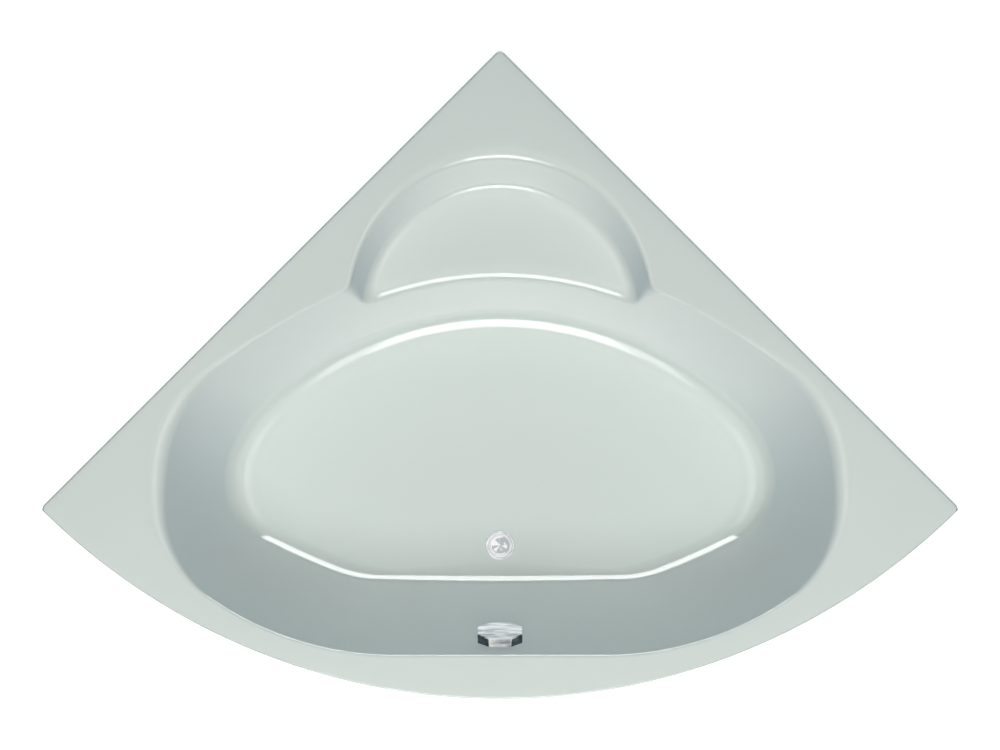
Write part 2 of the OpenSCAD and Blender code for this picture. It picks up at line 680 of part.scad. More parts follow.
module waste_flange() {
    recess = plug_r + 0.8;
    color("#e3e6e8") at_drain() {
        rotate_extrude($fn = 96) polygon([
            [FLANGE_BORE_R, FLANGE_TUBE_Z], [FLANGE_TUBE_R, FLANGE_TUBE_Z], [FLANGE_TUBE_R, SEAL_T],
            [flange_d / 2, SEAL_T], [flange_d / 2, SEAL_T + 1], [flange_d / 2 - 1.5, SEAL_T + 2.5],
            [recess, SEAL_T + 2.5], [recess, SEAL_T + 0.5], [FLANGE_BORE_R, SEAL_T + 0.5]]);
        translate([0, 0, GUIDE_Z]) difference() {
            union() {
                cylinder(r = STEM_R + 3, h = GUIDE_H, $fn = 48);
                for (a = [90, 210, 330]) rotate([0, 0, a])
                    translate([0, -1.5, 0]) cube([FLANGE_BORE_R + 1, 3, GUIDE_H]);
            }
            translate([0, 0, -1]) cylinder(r = STEM_R + FIT, h = GUIDE_H + 2, $fn = 48);
        }
    }
}

module waste_seal_lower() {
    color("#2f3234") at_drain() translate([0, 0, -under - LOWER_SEAL_T])
        ring(FLANGE_TUBE_R + GAP, BODY_R + 6, LOWER_SEAL_T);
}

module waste_body() {
    top = -under - LOWER_SEAL_T;
    r = BODY_R - PIPE_WALL;
    dip_in = DIP_R - PIPE_WALL;
    dip_z = DIP_END_Z - floor_h;
    color("#3b4043") at_drain() difference() {
        union() {
            translate([0, 0, top - 5]) cylinder(r = BODY_R + 7, h = 5, $fn = 64);
            translate([0, 0, BODY_Z]) cylinder(r = BODY_R, h = top - BODY_Z - 1, $fn = 64);
            translate([0, 0, dip_z]) cylinder(r = DIP_R, h = BODY_Z - dip_z + 1, $fn = 64);
            translate([0, 0, INLET_Z]) rotate([90, 0, 0]) cylinder(r = INLET_R, h = INLET_REACH, $fn = 48);
            translate([0, 0, GLAND_Z]) rotate([0, 90, 0]) cylinder(r = GLAND_R, h = GLAND_REACH, $fn = 32);
        }
        translate([0, 0, BODY_Z + PIPE_WALL]) cylinder(r = r, h = 100, $fn = 64);
        translate([0, 0, dip_z - 1]) cylinder(r = dip_in, h = 200, $fn = 64);
        translate([0, 0, INLET_Z]) rotate([90, 0, 0]) cylinder(r = INLET_R - PIPE_WALL, h = 100, $fn = 48);
        translate([0, 0, GLAND_Z]) rotate([0, 90, 0]) cylinder(r = CABLE_R, h = 100, $fn = 32);
    }
}

module waste_plug() {
    color("#e9ecee") at_drain() translate([0, 0, SEAL_T + 0.5 + GAP]) {
        rotate_extrude($fn = 96) translate([0, SEAL_T])
            polygon([[0, 0], [plug_r - 2, 0], [plug_r, 0.4], [plug_r, 1.8], [plug_r - 1.2, 2.8], [0, 4]]);
        translate([0, 0, stem_z]) cylinder(r = STEM_R, h = SEAL_T + 1 - stem_z, $fn = 48);
    }
}

module plug_seal() {
    color("#2f3234") at_drain() translate([0, 0, SEAL_T + 0.5 + GAP]) ring(STEM_R, plug_r - 1, SEAL_T);
}

module trap_nut() {
    color("#e8e8e4") at_drain() translate([0, 0, -TRAP_TOP_DOWN]) difference() {
        cylinder(r = DIP_R + 11, h = NUT_L, $fn = 12);
        translate([0, 0, -1]) cylinder(r = DIP_R + 4 + GAP, h = COLLAR_H + GAP + 1, $fn = 64);
        translate([0, 0, -1]) cylinder(r = DIP_R + GAP, h = NUT_L + 2, $fn = 64);
    }
}

// Places its children with +Z along the outlet and z = 0 on the drain's axis
module along_outlet() {
    translate([0, drain_y, floor_h - OUTLET_DOWN])
        rotate([0, 0, -outlet_turn]) rotate([-90, 0, 0]) children();
}

module trap_body() {
    r = TRAP_R - PIPE_WALL;
    socket_r = spigot_r + GAP;
    color("#e8e8e4") difference() {
        union() {
            translate([0, drain_y, TRAP_BOTTOM_Z])
                cylinder(r = TRAP_R, h = trap_top - TRAP_BOTTOM_Z, $fn = 64);
            translate([0, drain_y, trap_top - 1]) cylinder(r = DIP_R + 4, h = COLLAR_H + 1, $fn = 64);
            along_outlet() cylinder(r = socket_r + PIPE_WALL, h = SOCKET_REACH, $fn = 64);
        }
        translate([0, drain_y, TRAP_BOTTOM_Z + PIPE_WALL])
            cylinder(r = r, h = trap_top - TRAP_BOTTOM_Z - 2 * PIPE_WALL, $fn = 64);
        translate([0, drain_y, trap_top - 2 * PIPE_WALL]) cylinder(r = DIP_R + GAP, h = 100, $fn = 64);
        along_outlet() cylinder(r = socket_r, h = SOCKET_REACH + 1, $fn = 64);
    }
}

module outlet_nut() {
    color("#e8e8e4") along_outlet() translate([0, 0, SOCKET_REACH]) difference() {
        cylinder(r = spigot_r + 8, h = NUT_L, $fn = 12);
        translate([0, 0, -1]) cylinder(r = spigot_r + GAP, h = NUT_L + 2, $fn = 64);
    }
}

module outlet_pipe() {
    pipe_r = outlet_d / 2;
    bore_r = pipe_r - PIPE_WALL;
    color("#e8e8e4") along_outlet() rotate_extrude($fn = 64) polygon([
        [bore_r, TRAP_R], [spigot_r, TRAP_R], [spigot_r, PIPE_START], [pipe_r, PIPE_START],
        [pipe_r, PIPE_REACH], [bore_r, PIPE_REACH]]);
}

// Overflow
module overflow_plate() {
    color("#dfe3e5") at_overflow() difference() {
        cylinder(r = PLATE_R, h = PLATE_T, $fn = 64);
        translate([0, 0, -1]) cylinder(r = SHAFT_R + FIT, h = PLATE_T + 2, $fn = 48);
        for (a = [30:60:330]) rotate([0, 0, a]) translate([(SHAFT_R + NECK[0]) / 2, 0, -1])
            cylinder(r = 4, h = PLATE_T + 2, $fn = 32);
        for (s = [-1, 1]) translate([s * (NECK[0] + NECK[1]) / 2, 0, -1])
            cylinder(r = PLATE_SCREW_R + 0.2, h = PLATE_T + 2, $fn = 24);
    }
}

module overflow_seal() {
    color("#2f3234") at_overflow() translate([0, 0, -under - SEAL_T]) ring(NECK[1] + GAP, CUP_R + 6, SEAL_T);
}

module overflow_screws() {
    color("#b5babd") at_overflow() for (s = [-1, 1]) translate([s * (NECK[0] + NECK[1]) / 2, 0, 0]) {
        translate([0, 0, PLATE_T]) cylinder(r = 2 * PLATE_SCREW_R, h = 1.5, $fn = 24);
        translate([0, 0, -PLATE_SCREW_IN])
            cylinder(r = PLATE_SCREW_R, h = PLATE_SCREW_IN + PLATE_T + 0.5, $fn = 24);
    }
}

module overflow_body() {
    top = -under - SEAL_T;
    color("#3b4043") at_overflow() difference() {
        union() {
            translate([0, 0, top - 4]) cylinder(r = CUP_R + 6, h = 4, $fn = 64);
            translate([0, 0, CUP_Z]) cylinder(r = CUP_R, h = top - CUP_Z - 1, $fn = 64);
            translate([0, 0, top - 1]) cylinder(r = NECK[1], h = 1 - top, $fn = 64);
            translate([0, 0, SPIGOT_Z]) rotate([-90, 0, 0])
                cylinder(r = INLET_R - 1, h = SPIGOT_REACH, $fn = 48);
            translate([CABLE_X, 0, CABLE_Z]) rotate([-90, 0, 0])
                cylinder(r = GLAND_R, h = CABLE_REACH, $fn = 32);
        }
        difference() {
            translate([0, 0, CUP_Z + PIPE_WALL])
                cylinder(r = CUP_R - PIPE_WALL, h = top - CUP_Z - 2 * PIPE_WALL, $fn = 64);
            translate([0, 0, CUP_Z]) cylinder(r = SHAFT_R + 3, h = 8, $fn = 48);
        }
        translate([0, 0, top - 2 * PIPE_WALL]) cylinder(r = NECK[0], h = 50, $fn = 64);
        translate([0, 0, CUP_Z + 2]) cylinder(r = SHAFT_R + FIT, h = 20, $fn = 48);
        translate([0, 0, SPIGOT_Z]) rotate([-90, 0, 0])
            cylinder(r = INLET_R - PIPE_WALL - 1, h = 100, $fn = 48);
        translate([CABLE_X, 0, CABLE_Z]) rotate([-90, 0, 0]) cylinder(r = CABLE_R, h = 100, $fn = 32);
        for (s = [-1, 1]) translate([s * (NECK[0] + NECK[1]) / 2, 0, -PLATE_SCREW_IN])
            cylinder(r = PLATE_SCREW_R, h = 50, $fn = 24);
    }
}

module octagon(w, flat) {
    polygon([for (a = [0:90:270], s = [-1, 1])
             let (x = w / 2, y = s * flat / 2) [x * cos(a) - y * sin(a), x * sin(a) + y * cos(a)]]);
}

module overflow_knob() {
    inner = knob_w - 2 * KNOB_WALL;
    flat = KNOB_FLAT * inner / knob_w;
    color("#e3e6e8") at_overflow() difference() {
        union() {
            difference() {
                union() {
                    translate([0, 0, KNOB_BACK])
                        linear_extrude(knob_h - KNOB_BACK - KNOB_BEVEL) octagon(knob_w, KNOB_FLAT);
                    hull() {
                        translate([0, 0, knob_h - KNOB_BEVEL - 0.1])
                            linear_extrude(0.1) octagon(knob_w, KNOB_FLAT);
                        translate([0, 0, knob_h - 0.1])
                            linear_extrude(0.1) octagon(knob_w - 2 * KNOB_BEVEL, KNOB_FLAT - 1);
                    }
                }
                translate([0, 0, KNOB_BACK - 1])
                    linear_extrude(knob_h - KNOB_BACK - KNOB_WALL - 1) octagon(inner, flat);
            }
            translate([0, 0, KNOB_BACK + 1]) cylinder(r = SHAFT_R + 4, h = knob_h - KNOB_BACK - 4, $fn = 48);
        }
        cylinder(r = SHAFT_R, h = knob_h - 4, $fn = 48);
    }
}

module knob_shaft() {
    color("#a5abae") at_overflow() {
        translate([0, 0, CUP_Z + 2 + GAP]) cylinder(r = SHAFT_R, h = knob_h - 4 - CUP_Z - 2 - GAP, $fn = 48);
        translate([0, 0, CABLE_Z - 2]) cylinder(r = CRANK_R, h = 4, $fn = 48);
    }
}

// Hose: straight from the overflow, round a bend and straight into the waste body, all at x = 0
function in_overflow(p) = [p[0],
    basin_front_y + overflow_d * tan(front_lean) + p[1] * sin(front_lean) + p[2] * cos(front_lean),
    rim_h - overflow_d - p[1] * cos(front_lean) + p[2] * sin(front_lean)];

hose_a = in_overflow([0, SPIGOT_REACH, SPIGOT_Z]);
hose_b = [0, drain_y - INLET_REACH, floor_h + INLET_Z];
hose_dir = [0, sin(front_lean), -cos(front_lean)];
hose_turn = 90 - front_lean;
hose_knee = hose_a + (hose_a[2] - hose_b[2]) / cos(front_lean) * hose_dir;
hose_bend_r = (hose_b[1] - HOSE_END - hose_knee[1]) / tan(hose_turn / 2);
hose_down = norm(hose_knee - hose_a) - hose_bend_r * tan(hose_turn / 2);
hose_arc = hose_bend_r * hose_turn * PI / 180;
hose_length = hose_down + hose_arc + HOSE_END;

// Point and sideways direction at the length s along the hose
function hose_at(s) =
    s <= hose_down ? [hose_a + s * hose_dir, [0, cos(front_lean), sin(front_lean)]] :
    s >= hose_down + hose_arc ? [hose_b - (hose_length - s) * [0, 1, 0], [0, 0, 1]] :
    let (a = (s - hose_down) / hose_bend_r * 180 / PI,
         n = [0, cos(front_lean + a), sin(front_lean + a)],
         c = hose_a + hose_down * hose_dir + hose_bend_r * [0, cos(front_lean), sin(front_lean)])
    [c - hose_bend_r * n, n];

// Closed tube through the rings of points a (outside) and, where there is a bore, b (inside)
module swept(a, b = []) {
    n = len(a);
    k = len(a[0]);
    function wall(off, flip) = [for (i = [0:n - 2], j = [0:k - 1])
        let (p = off + i * k + j, q = off + i * k + (j + 1) % k)
        each flip ? [[p, q, q + k], [p, q + k, p + k]] : [[p, q + k, q], [p, p + k, q + k]]];
    if (len(b) > 0) {
        m = n * k;
        ends = [for (j = [0:k - 1]) let (q = (j + 1) % k, e = (n - 1) * k)
                each [[j, q, m + q], [j, m + q, m + j],
                      [e + j, m + e + q, e + q], [e + j, m + e + j, m + e + q]]];
        polyhedron([for (r = a) each r, for (r = b) each r], concat(wall(0, false), wall(m, true), ends));
    } else {
        caps = [[for (j = [0:k - 1]) j], [for (j = [k - 1:-1:0]) (n - 1) * k + j]];
        polyhedron([for (r = a) each r], concat(wall(0, false), caps));
    }
}

function ring_at(c, n, b, r, sides) =
    [for (j = [0:sides - 1]) let (t = 360 * j / sides) c + r * (cos(t) * n + sin(t) * b)];

module overflow_hose() {
    s0 = HOSE_END;
    pitch = (hose_length - 2 * s0) / (2 * hose_ribs);
    stations = concat([0], [for (i = [0:2 * hose_ribs]) s0 + i * pitch], [hose_length]);
    radii = concat([HOSE_R[1]], [for (i = [0:2 * hose_ribs]) HOSE_R[i % 2 == 1 ? 0 : 1]], [HOSE_R[1]]);
    function rings(r) = [for (i = [0:len(stations) - 1])
                         let (h = hose_at(stations[i])) ring_at(h[0], h[1], [1, 0, 0], r[i], HOSE_SIDES)];
    color("#8d9497") swept(rings(radii), rings([for (r = radii) HOSE_R[2]]));
}

module hose_nuts() {
    color("#3b4043") {
        at_overflow() translate([0, SPIGOT_REACH - NUT_L / 2, SPIGOT_Z]) rotate([-90, 0, 0])
            ring(INLET_R + GAP, HOSE_R[0] + 4, NUT_L);
        translate([0, drain_y - INLET_REACH + NUT_L / 2, floor_h + INLET_Z]) rotate([90, 0, 0])
            ring(INLET_R + GAP, HOSE_R[0] + 4, NUT_L);
    }
}

// Pull cable: a smooth curve through its points
cable_a = in_overflow([CABLE_X, CABLE_REACH, CABLE_Z]);
cable_b = [GLAND_REACH, drain_y, floor_h + GLAND_Z];
cable_route = concat([cable_a],
                     [for (p = CABLE_POINTS) cable_a + p[0] * (cable_b - cable_a) + [p[1], p[2], 0]],
                     [cable_b]);

function curve_at(p, i, t) =
    let (n = len(p) - 1,
         a = i == 0 ? p[0] - 40 * hose_dir : p[i - 1],
         d = i == n - 1 ? p[n] - [40, 0, 0] : p[i + 2],
         b = p[i], c = p[i + 1])
    0.5 * (2 * b + (c - a) * t + (2 * a - 5 * b + 4 * c - d) * t * t + (3 * b - a - 3 * c + d) * t * t * t);

module pull_cable() {
    k = 6;
    n = len(cable_route) - 1;
    pts = concat([for (i = [0:n - 1], j = [0:k - 1]) curve_at(cable_route, i, j / k)], [cable_route[n]]);
    last = len(pts) - 1;
    dirs = [for (i = [0:last]) i == 0 ? hose_dir : i == last ? [-1, 0, 0] :
            (pts[i + 1] - pts[i - 1]) / norm(pts[i + 1] - pts[i - 1])];
    across = [for (i = 0, v = cross(dirs[0], [1, 0, 0]); i <= last;
                   i = i + 1, v = i > last ? v : let (w = v - (v * dirs[i]) * dirs[i]) w / norm(w)) v];
    color("#2f3234") swept([for (i = [0:last])
        ring_at(pts[i], across[i], cross(dirs[i], across[i]), CABLE_R - 0.1, CABLE_SIDES)]);
}

// Front panel and what holds it
module front_panel() {
    f = side - panel_flange;
    i = side - panel_t;
    color("#ccd5d2") bowed(45 - asin(PANEL_END_GAP / side)) polygon([
        [f, panel_floor_gap], [side, panel_floor_gap], [side, panel_top], [f, panel_top],
        [f, panel_top - panel_t], [i, panel_top - panel_t], [i, panel_floor_gap + panel_t],
        [f, panel_floor_gap + panel_t]]);
}

module at_magnets() {
    for (s = [-1, 1], z = magnet_z)
        translate([s * front_up_x, magnet_y, z]) rotate([90, 0, 0]) children();
}

module panel_magnets() { color("#3b4043") at_magnets() cylinder(r = MAGNET_D / 2, h = MAGNET_H, $fn = 48); }

module strike_plates() {
    color("#a5abae") at_magnets() translate([0, 0, MAGNET_H + GAP])
        cylinder(r = MAGNET_D / 2, h = STRIKE_H, $fn = 48);
}

module panel_blocks() {
    color("#d9dcda") intersection() {
        at_magnets() translate([-MAGNET_D / 2 - 2, -MAGNET_D / 2 - 2, MAGNET_H + GAP + STRIKE_H])
            cube([MAGNET_D + 4, MAGNET_D + 4, UPRIGHT_FRONT_IN]);
        translate([0, apex_y, 0]) cylinder(r = side - panel_t, h = rim_h, $fn = 720);
    }
}

acrylic_shell();
glass_fibre_backing();
base_board();
seat_board();
rim_batten_left();
rim_batten_right();
rim_batten_front();
cross_rail();
rear_rail_left();
rear_rail_right();
spine_rail();
front_arm_left();
front_arm_right();
upright_left();
upright_right();
upright_corner();
upright_front_left();
upright_front_right();
seat_post();
foot_nut_plates();
rim_pads();
foot_stud_left();
foot_stud_right();
foot_stud_corner();
foot_stud_front_left();
foot_stud_front_right();
foot_pad_left();
foot_pad_right();
foot_pad_corner();
foot_pad_front_left();
foot_pad_front_right();
lock_nuts();
board_screws();
wall_bracket_left();
wall_bracket_right();
waste_flange();
waste_seal_upper();
waste_seal_lower();
waste_body();
waste_plug();
plug_seal();
trap_nut();
trap_body();
outlet_nut();
outlet_pipe();
overflow_plate();
overflow_seal();
overflow_body();
overflow_screws();
overflow_knob();
knob_shaft();
overflow_hose();
hose_nuts();
pull_cable();
front_panel();
panel_blocks();
strike_plates();
panel_magnets();
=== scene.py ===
# %% [markdown]
# A corner bath, seen from straight above
#
# The bath is a quarter circle: two straight sides stand against the walls of a room, and the long front is
# bowed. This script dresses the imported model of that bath. First the model comes in as a fixed frame of
# named nodes. Then the pieces that catch the light are made again with finer shapes, every node gets a
# finish, and at the end a floor, lamps and a camera are set up. All sizes are in metres.

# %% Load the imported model
import json
import math

import bpy
import numpy as np
from mathutils import Matrix, Vector


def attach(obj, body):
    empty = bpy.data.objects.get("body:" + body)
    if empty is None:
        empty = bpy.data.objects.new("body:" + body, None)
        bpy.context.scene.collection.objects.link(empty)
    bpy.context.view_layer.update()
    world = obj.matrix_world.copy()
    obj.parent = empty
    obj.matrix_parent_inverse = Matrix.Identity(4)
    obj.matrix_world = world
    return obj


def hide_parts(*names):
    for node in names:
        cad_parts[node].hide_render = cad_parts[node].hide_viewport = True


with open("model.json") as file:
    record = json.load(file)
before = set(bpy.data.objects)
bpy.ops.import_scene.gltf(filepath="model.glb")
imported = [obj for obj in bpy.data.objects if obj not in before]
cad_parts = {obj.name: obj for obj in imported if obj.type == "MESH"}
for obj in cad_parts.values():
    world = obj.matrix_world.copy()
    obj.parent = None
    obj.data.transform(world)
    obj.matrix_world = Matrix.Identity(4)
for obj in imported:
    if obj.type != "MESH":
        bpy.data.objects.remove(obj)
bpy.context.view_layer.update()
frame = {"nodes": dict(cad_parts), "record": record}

nodes = frame["nodes"]
print("nodes in the packed model:", len(nodes))

# %% [markdown]
# The sizes of the bath
#
# The fine shapes below are worked out from the same few sizes as the model itself, so they land on it
# without any fitting. +X points right, +Y points into the room corner and +Z points up, with the origin
# on the floor under the middle of the plan.

# %% Sizes of the shell
SIDE = 1.400
RIM_H = 0.600
FLOOR_H = 0.170
SEAT_D = 0.150
FRONT_RIM_W = 0.094
LIP_H = 0.040
SKIN = 0.005
BACKING = 0.003
BASIN_D = RIM_H - FLOOR_H
# Less than a hair's width, for comparing heights, and a value that only keeps a division from zero
HAIR = 1e-5
TINY = 1e-9

EDGE_R = 0.006
SIDE_CORNER_R = 0.012
WALL_CORNER_R = 0.010
RIM_EDGE_R = 0.009
END_EDGE_R = 0.050
SEAT_BACK_EDGE_R = 0.042
FRONT_FILLET_R = 0.053
FLOOR_FILLET_R = 0.088
# The fillet at the floor grows from its front radius to its back radius over these angles round the basin
FILLET_GROWS_FROM = math.radians(40)
FILLET_GROWS_OVER = math.radians(45)
SEAT_FILLET_R = 0.036
SEAT_FRONT_R = 0.046

# Half the straight front of the basin's rim, and radius and turn of each arc; one more arc closes it
RIM_HALF = 0.228
RIM_RADII = [0.700, 0.254, 0.540, 0.303, 1.300]
RIM_TURNS = [34, 54, 12, 42, 16]
# The same for the line where the basin's wall meets its floor
FOOT_HALF = 0.248
FOOT_RADII = [0.266, 1.860, 0.147, 0.264]
FOOT_TURNS = [20, 5, 83, 29]
# The basin's middle behind the front of its rim, and the plan width of its front wall
HUB_IN = 0.398
FRONT_WALL_RUN = 0.167
# The wide rounding at the two ends: its middle and half width as angles round the basin
END_ANGLE = math.radians(93)
END_SPREAD = math.radians(32)
# Depth over which the basin's wall and the seat's wall blend into each other
BLEND_D = 0.060
# The seat: its middle, opening and foot behind the basin's middle, the rim beside it and its wall
SEAT_HUB_BACK = 0.325
SEAT_RIM_BACK = 0.349
SEAT_FOOT_BACK = 0.318
SEAT_RIM_W = 0.0673
SEAT_WALL_RUN = 0.033
SEAT_LEAST_RUN = 0.001

APEX_Y = (SIDE + WALL_CORNER_R * (math.sqrt(2) - 1)) / 2
FRONT_Y = APEX_Y - SIDE
BASIN_FRONT_Y = FRONT_Y + FRONT_RIM_W
HUB_Y = BASIN_FRONT_Y + HUB_IN
FOOT_FRONT_Y = BASIN_FRONT_Y + FRONT_WALL_RUN
SEAT_HUB_Y = HUB_Y + SEAT_HUB_BACK
SEAT_RIM_Y = HUB_Y + SEAT_RIM_BACK
SEAT_FOOT_Y = HUB_Y + SEAT_FOOT_BACK
SEAT_RIM_R = (APEX_Y - SEAT_RIM_Y) / math.sqrt(2) - SEAT_RIM_W
SEAT_FOOT_R = SEAT_RIM_R - SEAT_WALL_RUN
HUB = np.array([0.0, HUB_Y])
ROOM_CORNER = np.array([0.0, APEX_Y])
print(f"front of the bath at y = {FRONT_Y:.4f}, basin {BASIN_D:.3f} deep, seat radius {SEAT_RIM_R:.4f}")

# %% [markdown]
# The basin's outline
#
# The real basin was drawn by a designer with a handful of arcs that run smoothly into each other. The same
# is done here: each arc starts where the last one ends, with the same heading, and only its radius and the
# angle that it turns through are chosen. A ray from the middle of the basin then finds the outline in
# every direction, which is what a surface that is built in rays needs.

# %% Outline of arcs, and rays that meet it
def ray_angle(x, y):
    """Angle round the basin's middle: 0 is the front, a quarter turn the left end, half a turn the back."""
    return np.arctan2(-x, HUB_Y - y)


def arcs_from(start, radii, turns):
    """Arcs that follow each other from the end of the straight front: middle, radius and last ray angle."""
    arcs = []
    point = np.array(start)
    heading = math.pi
    for radius, turn in zip(radii, turns):
        middle = point + radius * np.array([math.sin(heading), -math.cos(heading)])
        heading -= math.radians(turn)
        point = middle - radius * np.array([math.sin(heading), -math.cos(heading)])
        arcs.append((middle, radius, float(ray_angle(*point))))
    closing = -point[0] / math.sin(heading)
    arcs.append((point + closing * np.array([math.sin(heading), -math.cos(heading)]), closing, math.pi))
    return arcs


def to_circle(start, way, middle, radius):
    """Distance from start along each unit vector of way to the far side of a circle."""
    gap = np.asarray(middle) - start
    along = way @ gap
    return along + np.sqrt(np.maximum(0, radius ** 2 - gap @ gap + along ** 2))


def outline_reach(angle, half, front_y, arcs):
    """Distance from the basin's middle to an outline in each direction."""
    way = np.stack([-np.sin(angle), -np.cos(angle)], axis=-1)
    reach = to_circle(HUB, way, arcs[-1][0], arcs[-1][1])
    for middle, radius, last in reversed(arcs[:-1]):
        reach = np.where(angle <= last, to_circle(HUB, way, middle, radius), reach)
    ahead = np.where(angle < math.pi / 3, np.cos(angle), 1)
    return np.where(angle <= ray_angle(-half, front_y), (HUB_Y - front_y) / ahead, reach)


rim_arcs = arcs_from([-RIM_HALF, BASIN_FRONT_Y], RIM_RADII, RIM_TURNS)
foot_arcs = arcs_from([-FOOT_HALF, FOOT_FRONT_Y], FOOT_RADII, FOOT_TURNS)


def rim_reach(angle):
    return outline_reach(angle, RIM_HALF, BASIN_FRONT_Y, rim_arcs)


def foot_reach(angle):
    return outline_reach(angle, FOOT_HALF, FOOT_FRONT_Y, foot_arcs)


print("half width of the basin's rim:", round(float(rim_reach(np.array([math.pi / 2]))[0]), 4))

# %% [markdown]
# The depth of the shell at any point
#
# A sheet of acrylic that is drawn into a mould has no sharp edge anywhere: each wall rolls over into the
# rim and sweeps into the floor. So the surface is written as one rule for its depth. A wall has a slope; a
# fillet rounds it into the floor, a second rounding rolls it over into the rim, and where the basin's wall
# meets the wall of the seat the two are blended over a few centimetres.

# %% Roundings, walls and their blend
def tangent_run(slope, radius):
    """How far a rounding reaches from the corner that it replaces."""
    return radius * np.tan((math.pi / 2 - np.arctan(1 / slope)) / 2)


def into_floor(wall, floor, slope, radius):
    """Depth of a wall that is rounded into a floor."""
    run = (floor - wall) / slope
    tangent = tangent_run(slope, radius)
    curve = floor - radius + np.sqrt(np.maximum(0, radius ** 2 - (run + tangent) ** 2))
    rounded = np.where(run < tangent * np.sin(np.arctan(1 / slope)), curve, wall)
    return np.where(run <= -tangent, floor, rounded)


def over_edge(wall, slope, radius):
    """Depth of a wall that is rounded over into a level face at the depth 0."""
    run = -wall / slope
    tangent = tangent_run(slope, radius)
    curve = radius - np.sqrt(np.maximum(0, radius ** 2 - (run - tangent) ** 2))
    rounded = np.where(run > -tangent * np.sin(np.arctan(1 / slope)), curve, wall)
    return np.where(run >= tangent, 0, rounded)


def edge_radius(angle):
    """Radius of the basin's rim edge: small along the front, wide at the two ends."""
    near = np.clip(1 - np.abs(angle - END_ANGLE) / END_SPREAD, 0, 1)
    return RIM_EDGE_R + (END_EDGE_R - RIM_EDGE_R) * np.sin(near * math.pi / 2) ** 2


def fillet_radius(angle):
    """Radius between the basin's wall and its floor: small at the front, large at the back."""
    share = np.clip((angle - FILLET_GROWS_FROM) / FILLET_GROWS_OVER, 0, 1)
    return FRONT_FILLET_R + (FLOOR_FILLET_R - FRONT_FILLET_R) * share ** 2 * (3 - 2 * share)


def shell_depth(x, y):
    """Depth of the shell's upper face below the rim."""
    angle = ray_angle(-np.abs(x), y)
    outer = rim_reach(angle)
    basin_slope = BASIN_D / (outer - foot_reach(angle))
    basin_wall = basin_slope * (outer - np.hypot(x, y - HUB_Y))
    basin = into_floor(basin_wall, BASIN_D, basin_slope, fillet_radius(angle))
    away = np.maximum(np.hypot(x, y - SEAT_HUB_Y), TINY)
    way = np.stack([x / away, (y - SEAT_HUB_Y) / away], axis=-1)
    seat_hub = np.array([0.0, SEAT_HUB_Y])
    seat_out = to_circle(seat_hub, way, [0.0, SEAT_RIM_Y], SEAT_RIM_R)
    seat_in = to_circle(seat_hub, way, [0.0, SEAT_FOOT_Y], SEAT_FOOT_R)
    seat_slope = SEAT_D / np.maximum(SEAT_LEAST_RUN, seat_out - seat_in)
    seat_wall = seat_slope * (seat_out - away)
    shelf = SEAT_D + over_edge(basin - SEAT_D, basin_slope, SEAT_FRONT_R)
    seat = into_floor(seat_wall, shelf, seat_slope, SEAT_FILLET_R)
    width = BLEND_D * (1 - np.clip(seat_wall / SEAT_D, 0, 1))
    share = np.where(width > 0, 0.5 + 0.5 * (basin - seat) / np.maximum(width, TINY), basin > seat)
    share = np.clip(share, 0, 1)
    both = share * basin + (1 - share) * seat + width * share * (1 - share)
    slope = share * basin_slope + (1 - share) * seat_slope
    seat_edge = RIM_EDGE_R + (SEAT_BACK_EDGE_R - RIM_EDGE_R) * np.maximum(0, way[..., 1]) ** 2
    return over_edge(both, slope, share * edge_radius(angle) + (1 - share) * seat_edge)


seat_middle_y = SEAT_RIM_Y + SEAT_RIM_R / 2
seat_depth = float(shell_depth(np.array([0.0]), np.array([seat_middle_y]))[0])
print(f"depth in the middle of the seat: {seat_depth:.4f}")

# %% [markdown]
# Rays and rows: the surface as a net
#
# The net of the surface has one column of points for each ray from the basin's middle, from the lower edge
# of the rim's lip to the level floor. Along a ray the points crowd together where the section bends and
# spread out where it is straight, so the light runs smoothly over the roundings and no point is wasted.

# %% Outer outline of the rim
corner_span = SIDE - SIDE_CORNER_R
corner_turn = math.pi / 4 - math.asin(SIDE_CORNER_R / corner_span)
side_corner = ROOM_CORNER - corner_span * np.array([math.sin(corner_turn), math.cos(corner_turn)])
wall_corner = ROOM_CORNER - np.array([0.0, WALL_CORNER_R * math.sqrt(2)])
arc_end = ROOM_CORNER + SIDE / corner_span * (side_corner - ROOM_CORNER)
diagonal = np.array([-1.0, 1.0]) / math.sqrt(2)
ARC_TO = float(ray_angle(*arc_end))
WALL_FROM = float(ray_angle(*(side_corner + SIDE_CORNER_R * diagonal)))
WALL_TO = float(ray_angle(*(wall_corner + WALL_CORNER_R * diagonal)))


def outer_reach(angle, inset):
    """Distance from the basin's middle to the rim's outer outline, drawn in by the inset."""
    way = np.stack([-np.sin(angle), -np.cos(angle)], axis=-1)
    corner = to_circle(HUB, way, wall_corner, WALL_CORNER_R - inset)
    across = np.where(angle > 1, np.sin(angle) - np.cos(angle), 1)
    wall = (APEX_Y - HUB_Y - inset * math.sqrt(2)) / across
    side = to_circle(HUB, way, side_corner, SIDE_CORNER_R - inset)
    front = to_circle(HUB, way, ROOM_CORNER, SIDE - inset)
    reach = np.where(angle <= WALL_TO, wall, corner)
    reach = np.where(angle < WALL_FROM, side, reach)
    return np.where(angle <= ARC_TO, front, reach)


print(f"the bowed front ends {math.degrees(ARC_TO):.1f} degrees round the basin")

# %% Columns and rows of the net
# Between these angles the seat's wall runs out into the basin's rim, so the rays stand closer there
SEAT_TIP = [math.radians(136), math.radians(152)]
EDGE_STEPS = 6
LIP_STEPS = 4
ROWS = 84
SAMPLES = 700
# A metre of straight section is worth as many rows as a bend of this many degrees
DEGREES_PER_METRE = 200
